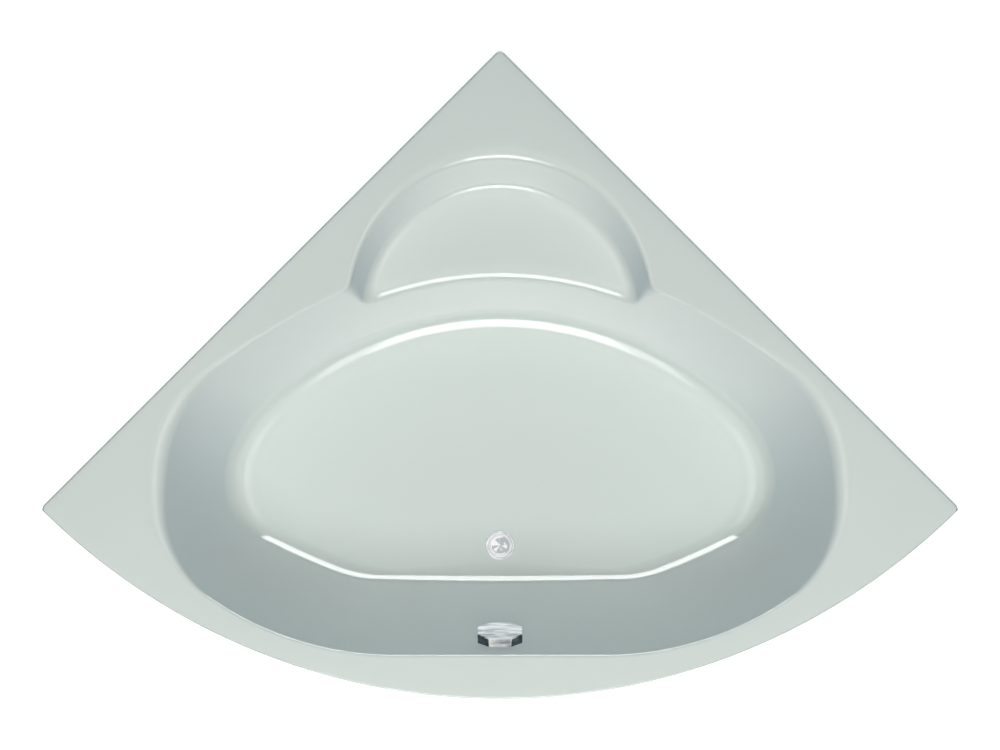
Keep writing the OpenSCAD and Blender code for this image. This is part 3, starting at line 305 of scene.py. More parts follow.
# Rays stand closer where the outline bends: each fan has its first angle and its number of rays
FANS = [(0, 84), (ARC_TO, 8), (WALL_FROM, 40), (SEAT_TIP[0], 26), (SEAT_TIP[1], 26), (WALL_TO, 3)]
fan_ends = [first for first, count in FANS[1:]] + [math.pi]
fans = [np.linspace(first, last, count, endpoint=False) for (first, count), last in zip(FANS, fan_ends)]
rays = np.concatenate([*fans, [math.pi]])


def points_on(angle, reach):
    """Plan points at a distance from the basin's middle."""
    return np.stack([-np.sin(angle) * reach, HUB_Y - np.cos(angle) * reach], axis=-1)


def level_reach(angle):
    """Distance from the basin's middle to the edge of its level floor."""
    slope = BASIN_D / (rim_reach(angle) - foot_reach(angle))
    return foot_reach(angle) - tangent_run(slope, fillet_radius(angle))


def row_reaches(angle):
    """Distances along one ray at which its rows lie, crowded where the section bends."""
    start = float(outer_reach(np.array([angle]), EDGE_R)[0])
    stop = float(level_reach(np.array([angle]))[0])
    reach = np.linspace(start, stop, SAMPLES)
    plan = points_on(np.full(SAMPLES, angle), reach)
    depth = shell_depth(plan[:, 0], plan[:, 1])
    run = np.diff(reach)
    tilt = np.degrees(np.arctan2(np.diff(depth), -run))
    bend = np.abs(np.diff(tilt, prepend=tilt[0]))
    cost = DEGREES_PER_METRE * np.hypot(run, np.diff(depth)) + bend
    total = np.concatenate([[0], np.cumsum(cost)])
    return np.interp(np.linspace(0, total[-1], ROWS), total, reach)


def shell_columns():
    """Upper face of the left half: for each ray its points from the lip's lower edge to the level floor."""
    columns = []
    for angle in rays:
        one = np.array([angle])
        points = []
        for share in range(LIP_STEPS):
            height = RIM_H - LIP_H + (LIP_H - EDGE_R) * share / LIP_STEPS
            points.append([*points_on(one, outer_reach(one, 0.0))[0], height])
        for step in range(EDGE_STEPS):
            turn = math.pi / 2 * step / EDGE_STEPS
            inset = EDGE_R * (1 - math.cos(turn))
            height = RIM_H - EDGE_R * (1 - math.sin(turn))
            points.append([*points_on(one, outer_reach(one, inset))[0], height])
        reach = row_reaches(angle)
        plan = points_on(np.full(ROWS, angle), reach)
        depth = shell_depth(plan[:, 0], plan[:, 1])
        points += [[x, y, RIM_H - d] for (x, y), d in zip(plan, depth)]
        columns.append(points)
    return np.array(columns)


left_half = shell_columns()
right_half = left_half[-2:0:-1] * np.array([-1, 1, 1])
net = np.concatenate([left_half, right_half])
print("net of", net.shape[0], "columns and", net.shape[1], "rows")

# %% [markdown]
# From the net to a shell with a thickness
#
# In Blender such a net could be a grid that is bent by hand, but the shape follows a rule, so its points
# are written straight into a mesh. The rest is done as by hand: Solidify gives the sheet its 5 mm, and a
# Boolean modifier with a cylinder cuts each of the two round holes, as the fitter does with a hole saw.

# %% Helpers for objects, modifiers and selections
DOUBLES_WITHIN = 1e-7


def nothing_selected():
    """Leaves edit mode and deselects everything."""
    if bpy.context.object is not None and bpy.context.object.mode != "OBJECT":
        bpy.ops.object.mode_set(mode="OBJECT")
    bpy.ops.object.select_all(action="DESELECT")


def make_active(piece):
    """Makes a piece the active object and the only one that is selected."""
    nothing_selected()
    piece.select_set(True)
    bpy.context.view_layer.objects.active = piece


def object_from(name, points, faces, edges=()):
    """A new mesh object from lists of points, edges and faces."""
    mesh = bpy.data.meshes.new(name)
    mesh.from_pydata([tuple(p) for p in points], list(edges), list(faces))
    mesh.update()
    piece = bpy.data.objects.new(name, mesh)
    bpy.context.collection.objects.link(piece)
    make_active(piece)
    return piece


def apply_modifier(piece, kind, **settings):
    """Adds a modifier with these settings and applies it at once."""
    make_active(piece)
    modifier = piece.modifiers.new(kind.lower(), kind)
    for key, value in settings.items():
        setattr(modifier, key, value)
    bpy.ops.object.modifier_apply(modifier=modifier.name)


def place(piece, matrix):
    """Moves a piece's mesh, so that the object itself stays at the origin."""
    piece.data.transform(matrix)
    piece.data.update()


def close_up(piece):
    """Merges double points, turns all faces outwards and leaves edit mode."""
    make_active(piece)
    bpy.ops.object.mode_set(mode="EDIT")
    bpy.ops.mesh.select_all(action="SELECT")
    bpy.ops.mesh.remove_doubles(threshold=DOUBLES_WITHIN)
    bpy.ops.mesh.normals_make_consistent(inside=False)
    bpy.ops.object.mode_set(mode="OBJECT")


def smooth(piece, degrees):
    """Shades the piece smooth, with a hard line at each edge that bends more than this."""
    make_active(piece)
    bpy.ops.object.shade_smooth_by_angle(angle=math.radians(degrees))


def report(piece):
    """Prints how many triangles a piece has."""
    count = sum(len(p.vertices) - 2 for p in piece.data.polygons)
    print(f"{piece.name}: {count} triangles")


# %% Where the two fittings sit
DRAIN_IN = 0.070
OVERFLOW_D = 0.083
DRAIN_Y = FOOT_FRONT_Y + DRAIN_IN
FRONT_LEAN = math.atan(FRONT_WALL_RUN / BASIN_D)
OVERFLOW_Y = BASIN_FRONT_Y + OVERFLOW_D * math.tan(FRONT_LEAN)
at_drain = Matrix.Translation((0, DRAIN_Y, FLOOR_H))
at_overflow = (Matrix.Translation((0, OVERFLOW_Y, RIM_H - OVERFLOW_D))
               @ Matrix.Rotation(FRONT_LEAN - math.pi / 2, 4, "X"))
print(f"drain at y = {DRAIN_Y:.4f}, and the front wall leans {math.degrees(FRONT_LEAN):.2f} degrees")

# %% A sheet from the net, and holes in it
# The level floor is filled in by rings, each at a share of the way from the middle to the floor's edge
FLOOR_RINGS = [0.85, 0.6, 0.35, 0.12]
HOLE_SIDES = 72
SAW_DEPTH = 0.040
WASTE_HOLE_R = 0.024
OVERFLOW_HOLE_R = 0.026


def sheet_from(name, grid, thickness):
    """A closed sheet from columns of points, with its level floor filled in, and thickened downwards."""
    columns, rows = grid.shape[:2]
    centre = np.array([0.0, HUB_Y, 0.0])
    edge = grid[:, -1] - centre
    rings = [centre + edge * [share, share, 1] for share in FLOOR_RINGS]
    grid = np.concatenate([grid] + [ring[:, None, :] for ring in rings], axis=1)
    rows += len(FLOOR_RINGS)
    faces = []
    for i in range(columns):
        k = (i + 1) % columns
        for j in range(rows - 1):
            faces.append((i * rows + j, i * rows + j + 1, k * rows + j + 1, k * rows + j))
    faces.append([i * rows + rows - 1 for i in reversed(range(columns))])
    piece = object_from(name, grid.reshape(-1, 3), faces)
    apply_modifier(piece, "SOLIDIFY", thickness=thickness, offset=-1, use_quality_normals=True)
    return piece


def cut_round_hole(piece, radius, matrix):
    """Cuts a round hole along the local Z axis of a place."""
    nothing_selected()
    bpy.ops.mesh.primitive_cylinder_add(vertices=HOLE_SIDES, radius=radius, depth=SAW_DEPTH)
    saw = bpy.context.object
    place(saw, matrix)
    apply_modifier(piece, "BOOLEAN", object=saw, operation="DIFFERENCE", solver="EXACT")
    bpy.data.objects.remove(saw)


def cut_fitting_holes(piece):
    """Cuts the holes for the waste and the overflow."""
    cut_round_hole(piece, WASTE_HOLE_R, at_drain)
    cut_round_hole(piece, OVERFLOW_HOLE_R, at_overflow)


shell = sheet_from("bath_shell", net, SKIN)
cut_fitting_holes(shell)
smooth(shell, degrees=40)
report(shell)
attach(shell, "tub")
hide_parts("acrylic_shell")

# %% [markdown]
# The glass-fibre backing
#
# Acrylic alone is far too soft for a bather, so resin and chopped glass are sprayed on its back. The
# backing follows the shell everywhere except on the lip. It is made from the same net: each point is
# pushed down along the surface's own direction by the thickness of the acrylic and a hair's gap. A sprayed
# laminate is never flat, but its roughness is so fine that the finish gives it.

# %% Surface directions, and the net pushed down along them
BACKING_START = LIP_STEPS + EDGE_STEPS + 2
BACKING_GAP = 0.0001


def directions(grid):
    """The direction away from the surface at each point of a net."""
    round_about = np.roll(grid, -1, axis=0) - np.roll(grid, 1, axis=0)
    inwards = np.gradient(grid, axis=1)
    way = np.cross(inwards, round_about)
    way[grid[..., 2] < FLOOR_H + HAIR] = [0, 0, 1]
    return way / np.maximum(np.linalg.norm(way, axis=-1, keepdims=True), TINY)


backing_net = (net - (SKIN + BACKING_GAP) * directions(net))[:, BACKING_START:]
backing = sheet_from("sprayed_backing", backing_net, BACKING)
cut_fitting_holes(backing)
smooth(backing, degrees=50)
report(backing)
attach(backing, "tub")
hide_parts("glass_fibre_backing")

# %% [markdown]
# The bowed front panel
#
# The panel is a long bent sheet with a small flange along its top and bottom. A sheet like this is easiest
# as a section that is spun round the room corner, because the front of the bath is an arc about that very
# point. The section's corners are rounded first, so the finished edges catch a thin line of light.

# %% Section of the panel, spun round the room corner
PANEL_T = 0.004
PANEL_GAP = 0.012
PANEL_FLANGE = 0.018
PANEL_TOP_GAP = 0.002
PANEL_TOP = RIM_H - LIP_H - PANEL_TOP_GAP
PANEL_END_GAP = 0.003
PANEL_STEPS = 150
PANEL_EDGE_R = 0.0016
PANEL_EDGE_STEPS = 3


def rounded_outline(corners, radius, steps):
    """A closed outline with each corner replaced by a small curve."""
    points = []
    count = len(corners)
    for i, corner in enumerate(corners):
        here = Vector(corner)
        before = (Vector(corners[i - 1]) - here).normalized() * radius
        after = (Vector(corners[(i + 1) % count]) - here).normalized() * radius
        for step in range(steps + 1):
            t = step / steps
            points.append(here + before * (1 - t) ** 2 + after * t ** 2)
    return points


def make_panel():
    """The panel's section stands at one end of the arc and is spun to the other."""
    half = math.pi / 4 - math.asin(PANEL_END_GAP / SIDE)
    inner = SIDE - PANEL_T
    flange = SIDE - PANEL_FLANGE
    low, high = PANEL_GAP + PANEL_T, PANEL_TOP - PANEL_T
    corners = [(SIDE, PANEL_GAP), (SIDE, PANEL_TOP), (flange, PANEL_TOP), (flange, high),
               (inner, high), (inner, low), (flange, low), (flange, PANEL_GAP)]
    outline = rounded_outline(corners, PANEL_EDGE_R, PANEL_EDGE_STEPS)
    turn = -math.pi / 2 + half
    points = [(r * math.cos(turn), APEX_Y + r * math.sin(turn), z) for r, z in outline]
    panel = object_from("bowed_panel", points, [list(range(len(points)))])
    bpy.ops.object.mode_set(mode="EDIT")
    bpy.ops.mesh.select_all(action="SELECT")
    bpy.ops.mesh.spin(steps=PANEL_STEPS, angle=2 * half, center=(0, APEX_Y, 0), axis=(0, 0, 1))
    close_up(panel)
    smooth(panel, degrees=40)
    return panel


panel = make_panel()
report(panel)
lowest, highest = np.round(panel.bound_box[0], 4), np.round(panel.bound_box[6], 4)
print("panel reaches from", lowest, "to", highest)
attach(panel, "panel")
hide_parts("front_panel")

# %% [markdown]
# The overflow knob
#
# A flat eight-sided cap hides the overflow, and a quarter turn of it lifts the plug. It starts as a block.
# Bevelling the four upright edges with a single step makes the eight sides, the back is hollowed by an
# inset and an extrude, as a cast cap is, and fine bevels round the upright edges and the front one.

# %% Selecting faces and edges in code
def select_faces(piece, wanted):
    """Selects, in edit mode, the faces for which the test holds."""
    make_active(piece)
    bpy.ops.object.mode_set(mode="EDIT")
    bpy.ops.mesh.select_mode(type="FACE")
    bpy.ops.mesh.select_all(action="DESELECT")
    bpy.ops.object.mode_set(mode="OBJECT")
    for face in piece.data.polygons:
        face.select = bool(wanted(face))
    bpy.ops.object.mode_set(mode="EDIT")


def select_edges(piece, wanted):
    """Selects, in edit mode, the edges for whose two ends the test holds."""
    make_active(piece)
    bpy.ops.object.mode_set(mode="EDIT")
    bpy.ops.mesh.select_mode(type="EDGE")
    bpy.ops.mesh.select_all(action="DESELECT")
    bpy.ops.object.mode_set(mode="OBJECT")
    points = piece.data.vertices
    for edge in piece.data.edges:
        edge.select = bool(wanted(points[edge.vertices[0]].co, points[edge.vertices[1]].co))
    bpy.ops.object.mode_set(mode="EDIT")


def block(name, middle, size):
    """A box round a middle point, with its place and size in its mesh."""
    nothing_selected()
    bpy.ops.mesh.primitive_cube_add(size=1, location=middle, scale=size)
    box = bpy.context.object
    box.name = name
    bpy.ops.object.transform_apply(location=True, rotation=True, scale=True)
    return box


# %% The cap, from a block
KNOB_W = 0.097
KNOB_FLAT = 0.047
KNOB_BACK = 0.0035
KNOB_H = 0.023
KNOB_WALL = 0.005
KNOB_BEVEL = 0.0024
KNOB_SIDE_BEVEL = 0.0012
BOSS_IN = 0.028
BOSS_SHORT = 0.001
# A face looks down when its normal points at least this much downwards
DOWNWARDS = -0.9


def make_knob():
    """A block that becomes an eight-sided cap, hollow at the back, with a boss for the spindle."""
    depth = KNOB_H - KNOB_BACK
    knob = block("octagonal_knob", (0, 0, KNOB_BACK + depth / 2), (KNOB_W, KNOB_W, depth))
    select_edges(knob, lambda a, b: abs(a.z - b.z) > depth / 2)
    bpy.ops.mesh.bevel(offset=(KNOB_W - KNOB_FLAT) / 2, segments=1, affect="EDGES")
    select_faces(knob, lambda face: face.normal.z < DOWNWARDS)
    bpy.ops.mesh.inset(thickness=KNOB_WALL)
    bpy.ops.mesh.extrude_region_move(TRANSFORM_OT_translate={"value": (0, 0, depth - KNOB_WALL)})
    bpy.ops.mesh.inset(thickness=BOSS_IN)
    boss = depth - KNOB_WALL - BOSS_SHORT
    bpy.ops.mesh.extrude_region_move(TRANSFORM_OT_translate={"value": (0, 0, -boss)})
    close_up(knob)
    outer = (KNOB_W - KNOB_WALL) / 2
    select_edges(knob, lambda a, b: abs(a.z - b.z) > depth / 2 and max(abs(a.x), abs(a.y)) > outer)
    bpy.ops.mesh.bevel(offset=KNOB_SIDE_BEVEL, segments=3, affect="EDGES")
    close_up(knob)
    select_edges(knob, lambda a, b: min(a.z, b.z) > KNOB_H - HAIR)
    bpy.ops.mesh.bevel(offset=KNOB_BEVEL, segments=4, affect="EDGES")
    close_up(knob)
    smooth(knob, degrees=32)
    place(knob, at_overflow)
    return knob


knob = make_knob()
report(knob)
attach(knob, "knob")
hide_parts("overflow_knob")

# %% [markdown]
# The waste ring and the plug
#
# Both are turned on a lathe in real life, and Spin is Blender's lathe: an outline of radius and height is
# drawn once and spun round the Z axis. The ring carries a small guide on three arms, in which the stem of
# the plug slides. The plug rises to a shallow cone, so water runs off it and the light makes a star on it.

# %% A lathe from Spin
LATHE_STEPS = 96


def lathe(name, outline, closed=True, steps=LATHE_STEPS):
    """Spins an outline of (radius, height) points once round the Z axis."""
    points = [(r, 0, z) for r, z in outline]
    edges = [(i, i + 1) for i in range(len(points) - 1)]
    if closed:
        edges.append((len(points) - 1, 0))
    piece = object_from(name, points, [], edges)
    bpy.ops.object.mode_set(mode="EDIT")
    bpy.ops.mesh.select_all(action="SELECT")
    bpy.ops.mesh.spin(steps=steps, angle=2 * math.pi, center=(0, 0, 0), axis=(0, 0, 1))
    close_up(piece)
    return piece


def round_corner(middle, radius, first, last, steps=5):
    """Points of a small arc in the outline, by its angles in degrees."""
    turns = [math.radians(first + (last - first) * i / steps) for i in range(steps + 1)]
    return [(middle[0] + radius * math.cos(t), middle[1] + radius * math.sin(t)) for t in turns]


def join(pieces, name):
    """Makes one object of several."""
    make_active(pieces[0])
    for piece in pieces:
        piece.select_set(True)
    bpy.ops.object.join()
    joined = bpy.context.object
    joined.name = name
    return joined


# %% The waste ring with its guide
FLANGE_R = 0.031
FLANGE_Z = 0.0015
FLANGE_TOP = 0.0040
RECESS_R = 0.0218
RECESS_Z = 0.0020
RECESS_SLOPE_W = 0.0008
RECESS_CHAMFER = 0.0004
# The flange's face is part of a sine wave: it rises over its middle and stays a little proud at the recess
ARCH_STEPS = 16
ARCH_SHARE = 0.8
TUBE_R = 0.0228
BORE_R = 0.0185
TUBE_END = -0.026
GUIDE_Z = -0.014
GUIDE_H = 0.006
GUIDE_WALL = 0.003
STEM_R = 0.004
STEM_PLAY = 0.0001
ARM_W = 0.003
ARM_TURNS = (90, 210, 330)
ARM_SUNK = 0.001
ARM_BEVEL = 0.0006


def flange_arch():
    """Section of the flange's face, from its outer edge to the slope into the recess."""
    points = []
    for step in range(ARCH_STEPS + 1):
        turn = math.pi * step / ARCH_STEPS
        inwards = (FLANGE_R - RECESS_R - RECESS_SLOPE_W) * (0.5 - 0.5 * math.cos(turn))
        rise = (FLANGE_TOP - FLANGE_Z) * math.sin(ARCH_SHARE * turn)
        points.append((FLANGE_R - inwards, FLANGE_Z + rise))
    return points


def guide_arms():
    """Three arms that run from the guide into the tube, each sunk into both by a millimetre."""
    first, last = STEM_R + GUIDE_WALL - ARM_SUNK, BORE_R + ARM_SUNK
    arms = []
    for turn in ARM_TURNS:
        middle = ((first + last) / 2, 0, GUIDE_Z + GUIDE_H / 2)
        arm = block("guide_arm", middle, (last - first, ARM_W, GUIDE_H))
        bpy.ops.object.mode_set(mode="EDIT")
        bpy.ops.mesh.bevel(offset=ARM_BEVEL, segments=2, affect="EDGES")
        bpy.ops.object.mode_set(mode="OBJECT")
        place(arm, Matrix.Rotation(math.radians(turn), 4, "Z"))
        arms.append(arm)
    return arms


def make_waste_ring():
    """Flange and tube in one, with the guide on its arms."""
    tube = [(BORE_R, TUBE_END), (TUBE_R, TUBE_END), (TUBE_R, FLANGE_Z)]
    recess = [(RECESS_R, RECESS_Z + RECESS_CHAMFER), (RECESS_R - RECESS_CHAMFER, RECESS_Z),
              (BORE_R, RECESS_Z)]
    body = lathe("ring_body", tube + flange_arch() + recess)
    inner, outer, top = STEM_R + STEM_PLAY, STEM_R + GUIDE_WALL, GUIDE_Z + GUIDE_H
    guide = lathe("guide_ring", [(inner, GUIDE_Z), (outer, GUIDE_Z), (outer, top), (inner, top)])
    ring = join([body, guide] + guide_arms(), "waste_ring")
    smooth(ring, degrees=35)
    place(ring, at_drain)
    return ring


waste_ring = make_waste_ring()
report(waste_ring)
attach(waste_ring, "tub")
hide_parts("waste_flange")

# %% The plug with its shallow cone and its stem
PLUG_R = 0.021
PLUG_Z = 0.0038
PLUG_BRIM_H = 0.0020
PLUG_EDGE_R = 0.0010
PLUG_SLOPE_W = 0.0020
PLUG_SLOPE_H = 0.0004
PLUG_CONE_R = 0.0180
PLUG_CONE_H = 0.0032
CONE_STEPS = 6
STEM_END = -0.0280
STEM_CHAMFER = 0.0006


def make_plug():
    """Stem, underside, rounded brim and cone are one outline that starts and ends on the axis."""
    brim_z = PLUG_Z + PLUG_BRIM_H
    stem = [(0, STEM_END), (STEM_R - STEM_CHAMFER, STEM_END), (STEM_R, STEM_END + STEM_CHAMFER),
            (STEM_R, PLUG_Z)]
    underside = [(PLUG_R - PLUG_SLOPE_W, PLUG_Z), (PLUG_R, PLUG_Z + PLUG_SLOPE_H)]
    brim = round_corner((PLUG_R - PLUG_EDGE_R, brim_z - PLUG_EDGE_R), PLUG_EDGE_R, 0, 90)
    shares = [step / CONE_STEPS for step in range(CONE_STEPS + 1)]
    cone = [(PLUG_CONE_R * (1 - share), brim_z + PLUG_CONE_H * share) for share in shares]
    plug = lathe("plug_disc", stem + underside + brim + cone, closed=False)
    smooth(plug, degrees=30)
    place(plug, at_drain)
    return plug


plug = make_plug()
report(plug)
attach(plug, "plug")
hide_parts("waste_plug")

# %% [markdown]
# The ribbed hose and the pull cable
#
# A grey hose takes the overflow's water down to the waste. It is made straight, as in the factory: a wavy
# outline is spun round its axis. Then every point is carried over to the route that the model settles, a
# straight run, a bend and a short level run. The cable that lifts the plug is a curve with a round section
# through the model's own points. Both are held at their two ends, so neither is a free cord.

# %% Route of the hose, from the overflow to the waste
SPIGOT_REACH = 0.058
SPIGOT_Z = -0.042
INLET_REACH = 0.038
INLET_Z = -0.042
HOSE_END = 0.026
HOSE_RIBS = 44
RIB_R = 0.017
VALLEY_R = 0.0145
HOSE_BORE_R = 0.012
HOSE_SIDES = 40
RIB_STEPS = 8
# A power below one gives the ribs broad backs and narrow valleys
RIB_POWER = 0.7
# The plain cuff covers this share of each end, and the bore has this many steps
CUFF_SHARE = 0.9
BORE_STEPS = 90
down_way = np.array([0.0, math.sin(FRONT_LEAN), -math.cos(FRONT_LEAN)])
out_way = np.array([0.0, math.cos(FRONT_LEAN), math.sin(FRONT_LEAN)])


def in_overflow(x, down, out):
    """A point given by its place in the overflow's own directions."""
    return np.array([0, OVERFLOW_Y, RIM_H - OVERFLOW_D]) + [x, 0, 0] + down * down_way + out * out_way


hose_top = in_overflow(0, SPIGOT_REACH, SPIGOT_Z)
hose_foot = np.array([0.0, DRAIN_Y - INLET_REACH, FLOOR_H + INLET_Z])
hose_turn = math.pi / 2 - FRONT_LEAN
hose_knee = hose_top + (hose_top[2] - hose_foot[2]) / math.cos(FRONT_LEAN) * down_way
bend_r = (hose_foot[1] - HOSE_END - hose_knee[1]) / math.tan(hose_turn / 2)
run_down = np.linalg.norm(hose_knee - hose_top) - bend_r * math.tan(hose_turn / 2)
hose_length = run_down + bend_r * hose_turn + HOSE_END
bend_middle = hose_top + run_down * down_way + bend_r * out_way


def hose_at(distance):
    """Point on the hose's axis, and its direction away from the bend's middle, at a distance along it."""
    if distance <= run_down:
        return hose_top + distance * down_way, -out_way
    if distance >= run_down + bend_r * hose_turn:
        return hose_foot - (hose_length - distance) * np.array([0, 1, 0]), np.array([0, 0, -1])
    turn = FRONT_LEAN + (distance - run_down) / bend_r
    away = -np.array([0, math.cos(turn), math.sin(turn)])
    return bend_middle + bend_r * away, away


print(f"hose {hose_length:.3f} m long, bent round a radius of {bend_r:.3f} m")

# %% The hose, spun straight and then bent
def hose_outline():
    """Outer wall with its ribs, then back along the bore, as (radius, distance along the hose)."""
    cuff = HOSE_END * CUFF_SHARE
    outline = [(VALLEY_R, 0.0), (VALLEY_R, cuff)]
    pitch = (hose_length - 2 * HOSE_END) / HOSE_RIBS
    for i in range(HOSE_RIBS * RIB_STEPS + 1):
        swell = (0.5 - 0.5 * math.cos(2 * math.pi * i / RIB_STEPS)) ** RIB_POWER
        outline.append((VALLEY_R + (RIB_R - VALLEY_R) * swell, HOSE_END + pitch * i / RIB_STEPS))
    outline += [(VALLEY_R, hose_length - cuff), (VALLEY_R, hose_length)]
    return outline + [(HOSE_BORE_R, hose_length * (1 - i / BORE_STEPS)) for i in range(BORE_STEPS + 1)]


def make_hose():
    """Spun straight along Z, then each point is carried over to the route."""
    hose = lathe("ribbed_hose", hose_outline(), steps=HOSE_SIDES)
    for point in hose.data.vertices:
        middle, away = hose_at(min(max(point.co.z, 0.0), hose_length))
        point.co = Vector(middle + point.co.x * away) + Vector((point.co.y, 0, 0))
    hose.data.update()
    close_up(hose)
    smooth(hose, degrees=60)
    return hose


hose = make_hose()
report(hose)
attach(hose, "tub")
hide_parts("overflow_hose")

# %% The pull cable, through the model's points
CABLE_R = 0.0024
CABLE_START = (0.022, 0.040, -0.024)
GLAND_REACH = 0.040
GLAND_Z = -0.050
# Each point is a share of the straight way between the ends, and how far right of it and behind it it lies
CABLE_POINTS = [(0.14, -0.002, -0.024), (0.4, 0.005, -0.043), (0.69, 0.016, -0.068), (0.885, 0.034, -0.071),
                (0.97, 0.052, -0.044), (1, 0.046, -0.014)]
CABLE_LEAD = 0.040
CABLE_STEPS = 12
CABLE_ROUNDNESS = 3


def cable_route():
    """A smooth curve through the cable's points, straight out of both ends."""
    start = in_overflow(*CABLE_START)
    stop = np.array([GLAND_REACH, DRAIN_Y, FLOOR_H + GLAND_Z])
    middle = [start + share * (stop - start) + [right, back, 0] for share, right, back in CABLE_POINTS]
    held = [start - CABLE_LEAD * down_way, start, *middle, stop, stop - [CABLE_LEAD, 0, 0]]
    route = []
    for a, b, c, d in zip(held, held[1:], held[2:], held[3:]):
        for step in range(CABLE_STEPS):
            t = step / CABLE_STEPS
            route.append(0.5 * (2 * b + (c - a) * t + (2 * a - 5 * b + 4 * c - d) * t ** 2
                                + (3 * b - a - 3 * c + d) * t ** 3))
    return route + [stop]


def tube_along(name, route, radius):
    """A curve object with a round section, made a mesh."""
    curve = bpy.data.curves.new(name, "CURVE")
    curve.dimensions = "3D"
    curve.bevel_depth = radius
    curve.bevel_resolution = CABLE_ROUNDNESS
    curve.use_fill_caps = True
    spline = curve.splines.new("POLY")
    spline.points.add(len(route) - 1)
    for point, place_at in zip(spline.points, route):
        point.co = (*place_at, 1)
    tube = bpy.data.objects.new(name, curve)
    bpy.context.collection.objects.link(tube)
    make_active(tube)
    bpy.ops.object.convert(target="MESH")
    return bpy.context.object


route = cable_route()
cable = tube_along("cable_sheath", route, CABLE_R)
close_up(cable)
smooth(cable, degrees=50)
report(cable)
cable_length = sum(np.linalg.norm(b - a) for a, b in zip(route, route[1:]))
print(f"cable {cable_length:.3f} m long")
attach(cable, "tub")
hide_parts("pull_cable")

# %% [markdown]
# Node groups that the finishes share
#
# Real surfaces are never quite even: colour drifts, gloss is touched by fingers, and a moulded face has a
# faint relief. Three small groups give these effects, and each finish uses them with its own numbers. The
# patterns read Object coordinates, so they stick to the piece when it moves.

# %% Small helpers for node trees
# Sockets of a mix of colours: its share and its two colours, and the one that gives the result
MIX_SOCKETS = (0, 6, 7)
MIX_RESULT = 2


def math_node(tree, operation, first, second):
    """One step of arithmetic with two values, each a socket or a number."""
    node = tree.nodes.new("ShaderNodeMath")
    node.operation = operation
    for place_in, value in zip(node.inputs, (first, second)):
        if isinstance(value, (int, float)):
            place_in.default_value = value
        else:
            tree.links.new(value, place_in)
    return node.outputs["Value"]


def between(tree, value, low, high):
    """0 at low and beyond, 1 at high and beyond, and a slope between; low may be the greater of the two."""
    node = tree.nodes.new("ShaderNodeMapRange")
    node.inputs["From Min"].default_value = low
    node.inputs["From Max"].default_value = high
    tree.links.new(value, node.inputs["Value"])
    return node.outputs["Result"]


def mix_colours(tree, share, first, second, blend="MIX"):
    """Two colours, each a socket or four numbers, mixed by a share."""
    node = tree.nodes.new("ShaderNodeMix")
    node.data_type = "RGBA"
    node.blend_type = blend
    for number, value in zip(MIX_SOCKETS, (share, first, second)):
        if isinstance(value, bpy.types.NodeSocket):
            tree.links.new(value, node.inputs[number])
        else:
            node.inputs[number].default_value = value
    return node.outputs[MIX_RESULT]


# %% Building a node group
# Noise seldom leaves the span between these two values
NOISE_LOW = 0.3
NOISE_HIGH = 0.7


def new_group(name, inputs, outputs):
    """An empty group with named sockets; returns it with its input node and its output node."""
    group = bpy.data.node_groups.new(name, "ShaderNodeTree")
    for title, kind, value in inputs:
        socket = group.interface.new_socket(title, in_out="INPUT", socket_type=kind)
        if value is not None:
            socket.default_value = value
    for title, kind in outputs:
        group.interface.new_socket(title, in_out="OUTPUT", socket_type=kind)
    return group, group.nodes.new("NodeGroupInput"), group.nodes.new("NodeGroupOutput")


def drift_group():
    """A value that drifts between Low and High over the surface."""
    group, given, result = new_group(
        "drift", [("Vector", "NodeSocketVector", None), ("Scale", "NodeSocketFloat", 5.0),
                  ("Detail", "NodeSocketFloat", 3.0), ("Low", "NodeSocketFloat", 0.0),
                  ("High", "NodeSocketFloat", 1.0)], [("Value", "NodeSocketFloat")])
    noise = group.nodes.new("ShaderNodeTexNoise")
    spread = group.nodes.new("ShaderNodeMapRange")
    spread.inputs["From Min"].default_value = NOISE_LOW
    spread.inputs["From Max"].default_value = NOISE_HIGH
    link = group.links.new
    link(given.outputs["Vector"], noise.inputs["Vector"])
    link(given.outputs["Scale"], noise.inputs["Scale"])
    link(given.outputs["Detail"], noise.inputs["Detail"])
    link(noise.outputs["Fac"], spread.inputs["Value"])
    link(given.outputs["Low"], spread.inputs["To Min"])
    link(given.outputs["High"], spread.inputs["To Max"])
    link(spread.outputs["Result"], result.inputs["Value"])
    return group


def tint_group(drift):
    """Two tones of a colour that drift into each other."""
    group, given, result = new_group(
        "two_tones", [("Vector", "NodeSocketVector", None), ("Scale", "NodeSocketFloat", 5.0),
                      ("Tone A", "NodeSocketColor", (1, 1, 1, 1)),
                      ("Tone B", "NodeSocketColor", (1, 1, 1, 1))], [("Color", "NodeSocketColor")])
    share = group.nodes.new("ShaderNodeGroup")
    share.node_tree = drift
    link = group.links.new
    link(given.outputs["Vector"], share.inputs["Vector"])
    link(given.outputs["Scale"], share.inputs["Scale"])
    tones = mix_colours(group, share.outputs["Value"], given.outputs["Tone A"], given.outputs["Tone B"])
    link(tones, result.inputs["Color"])
    return group


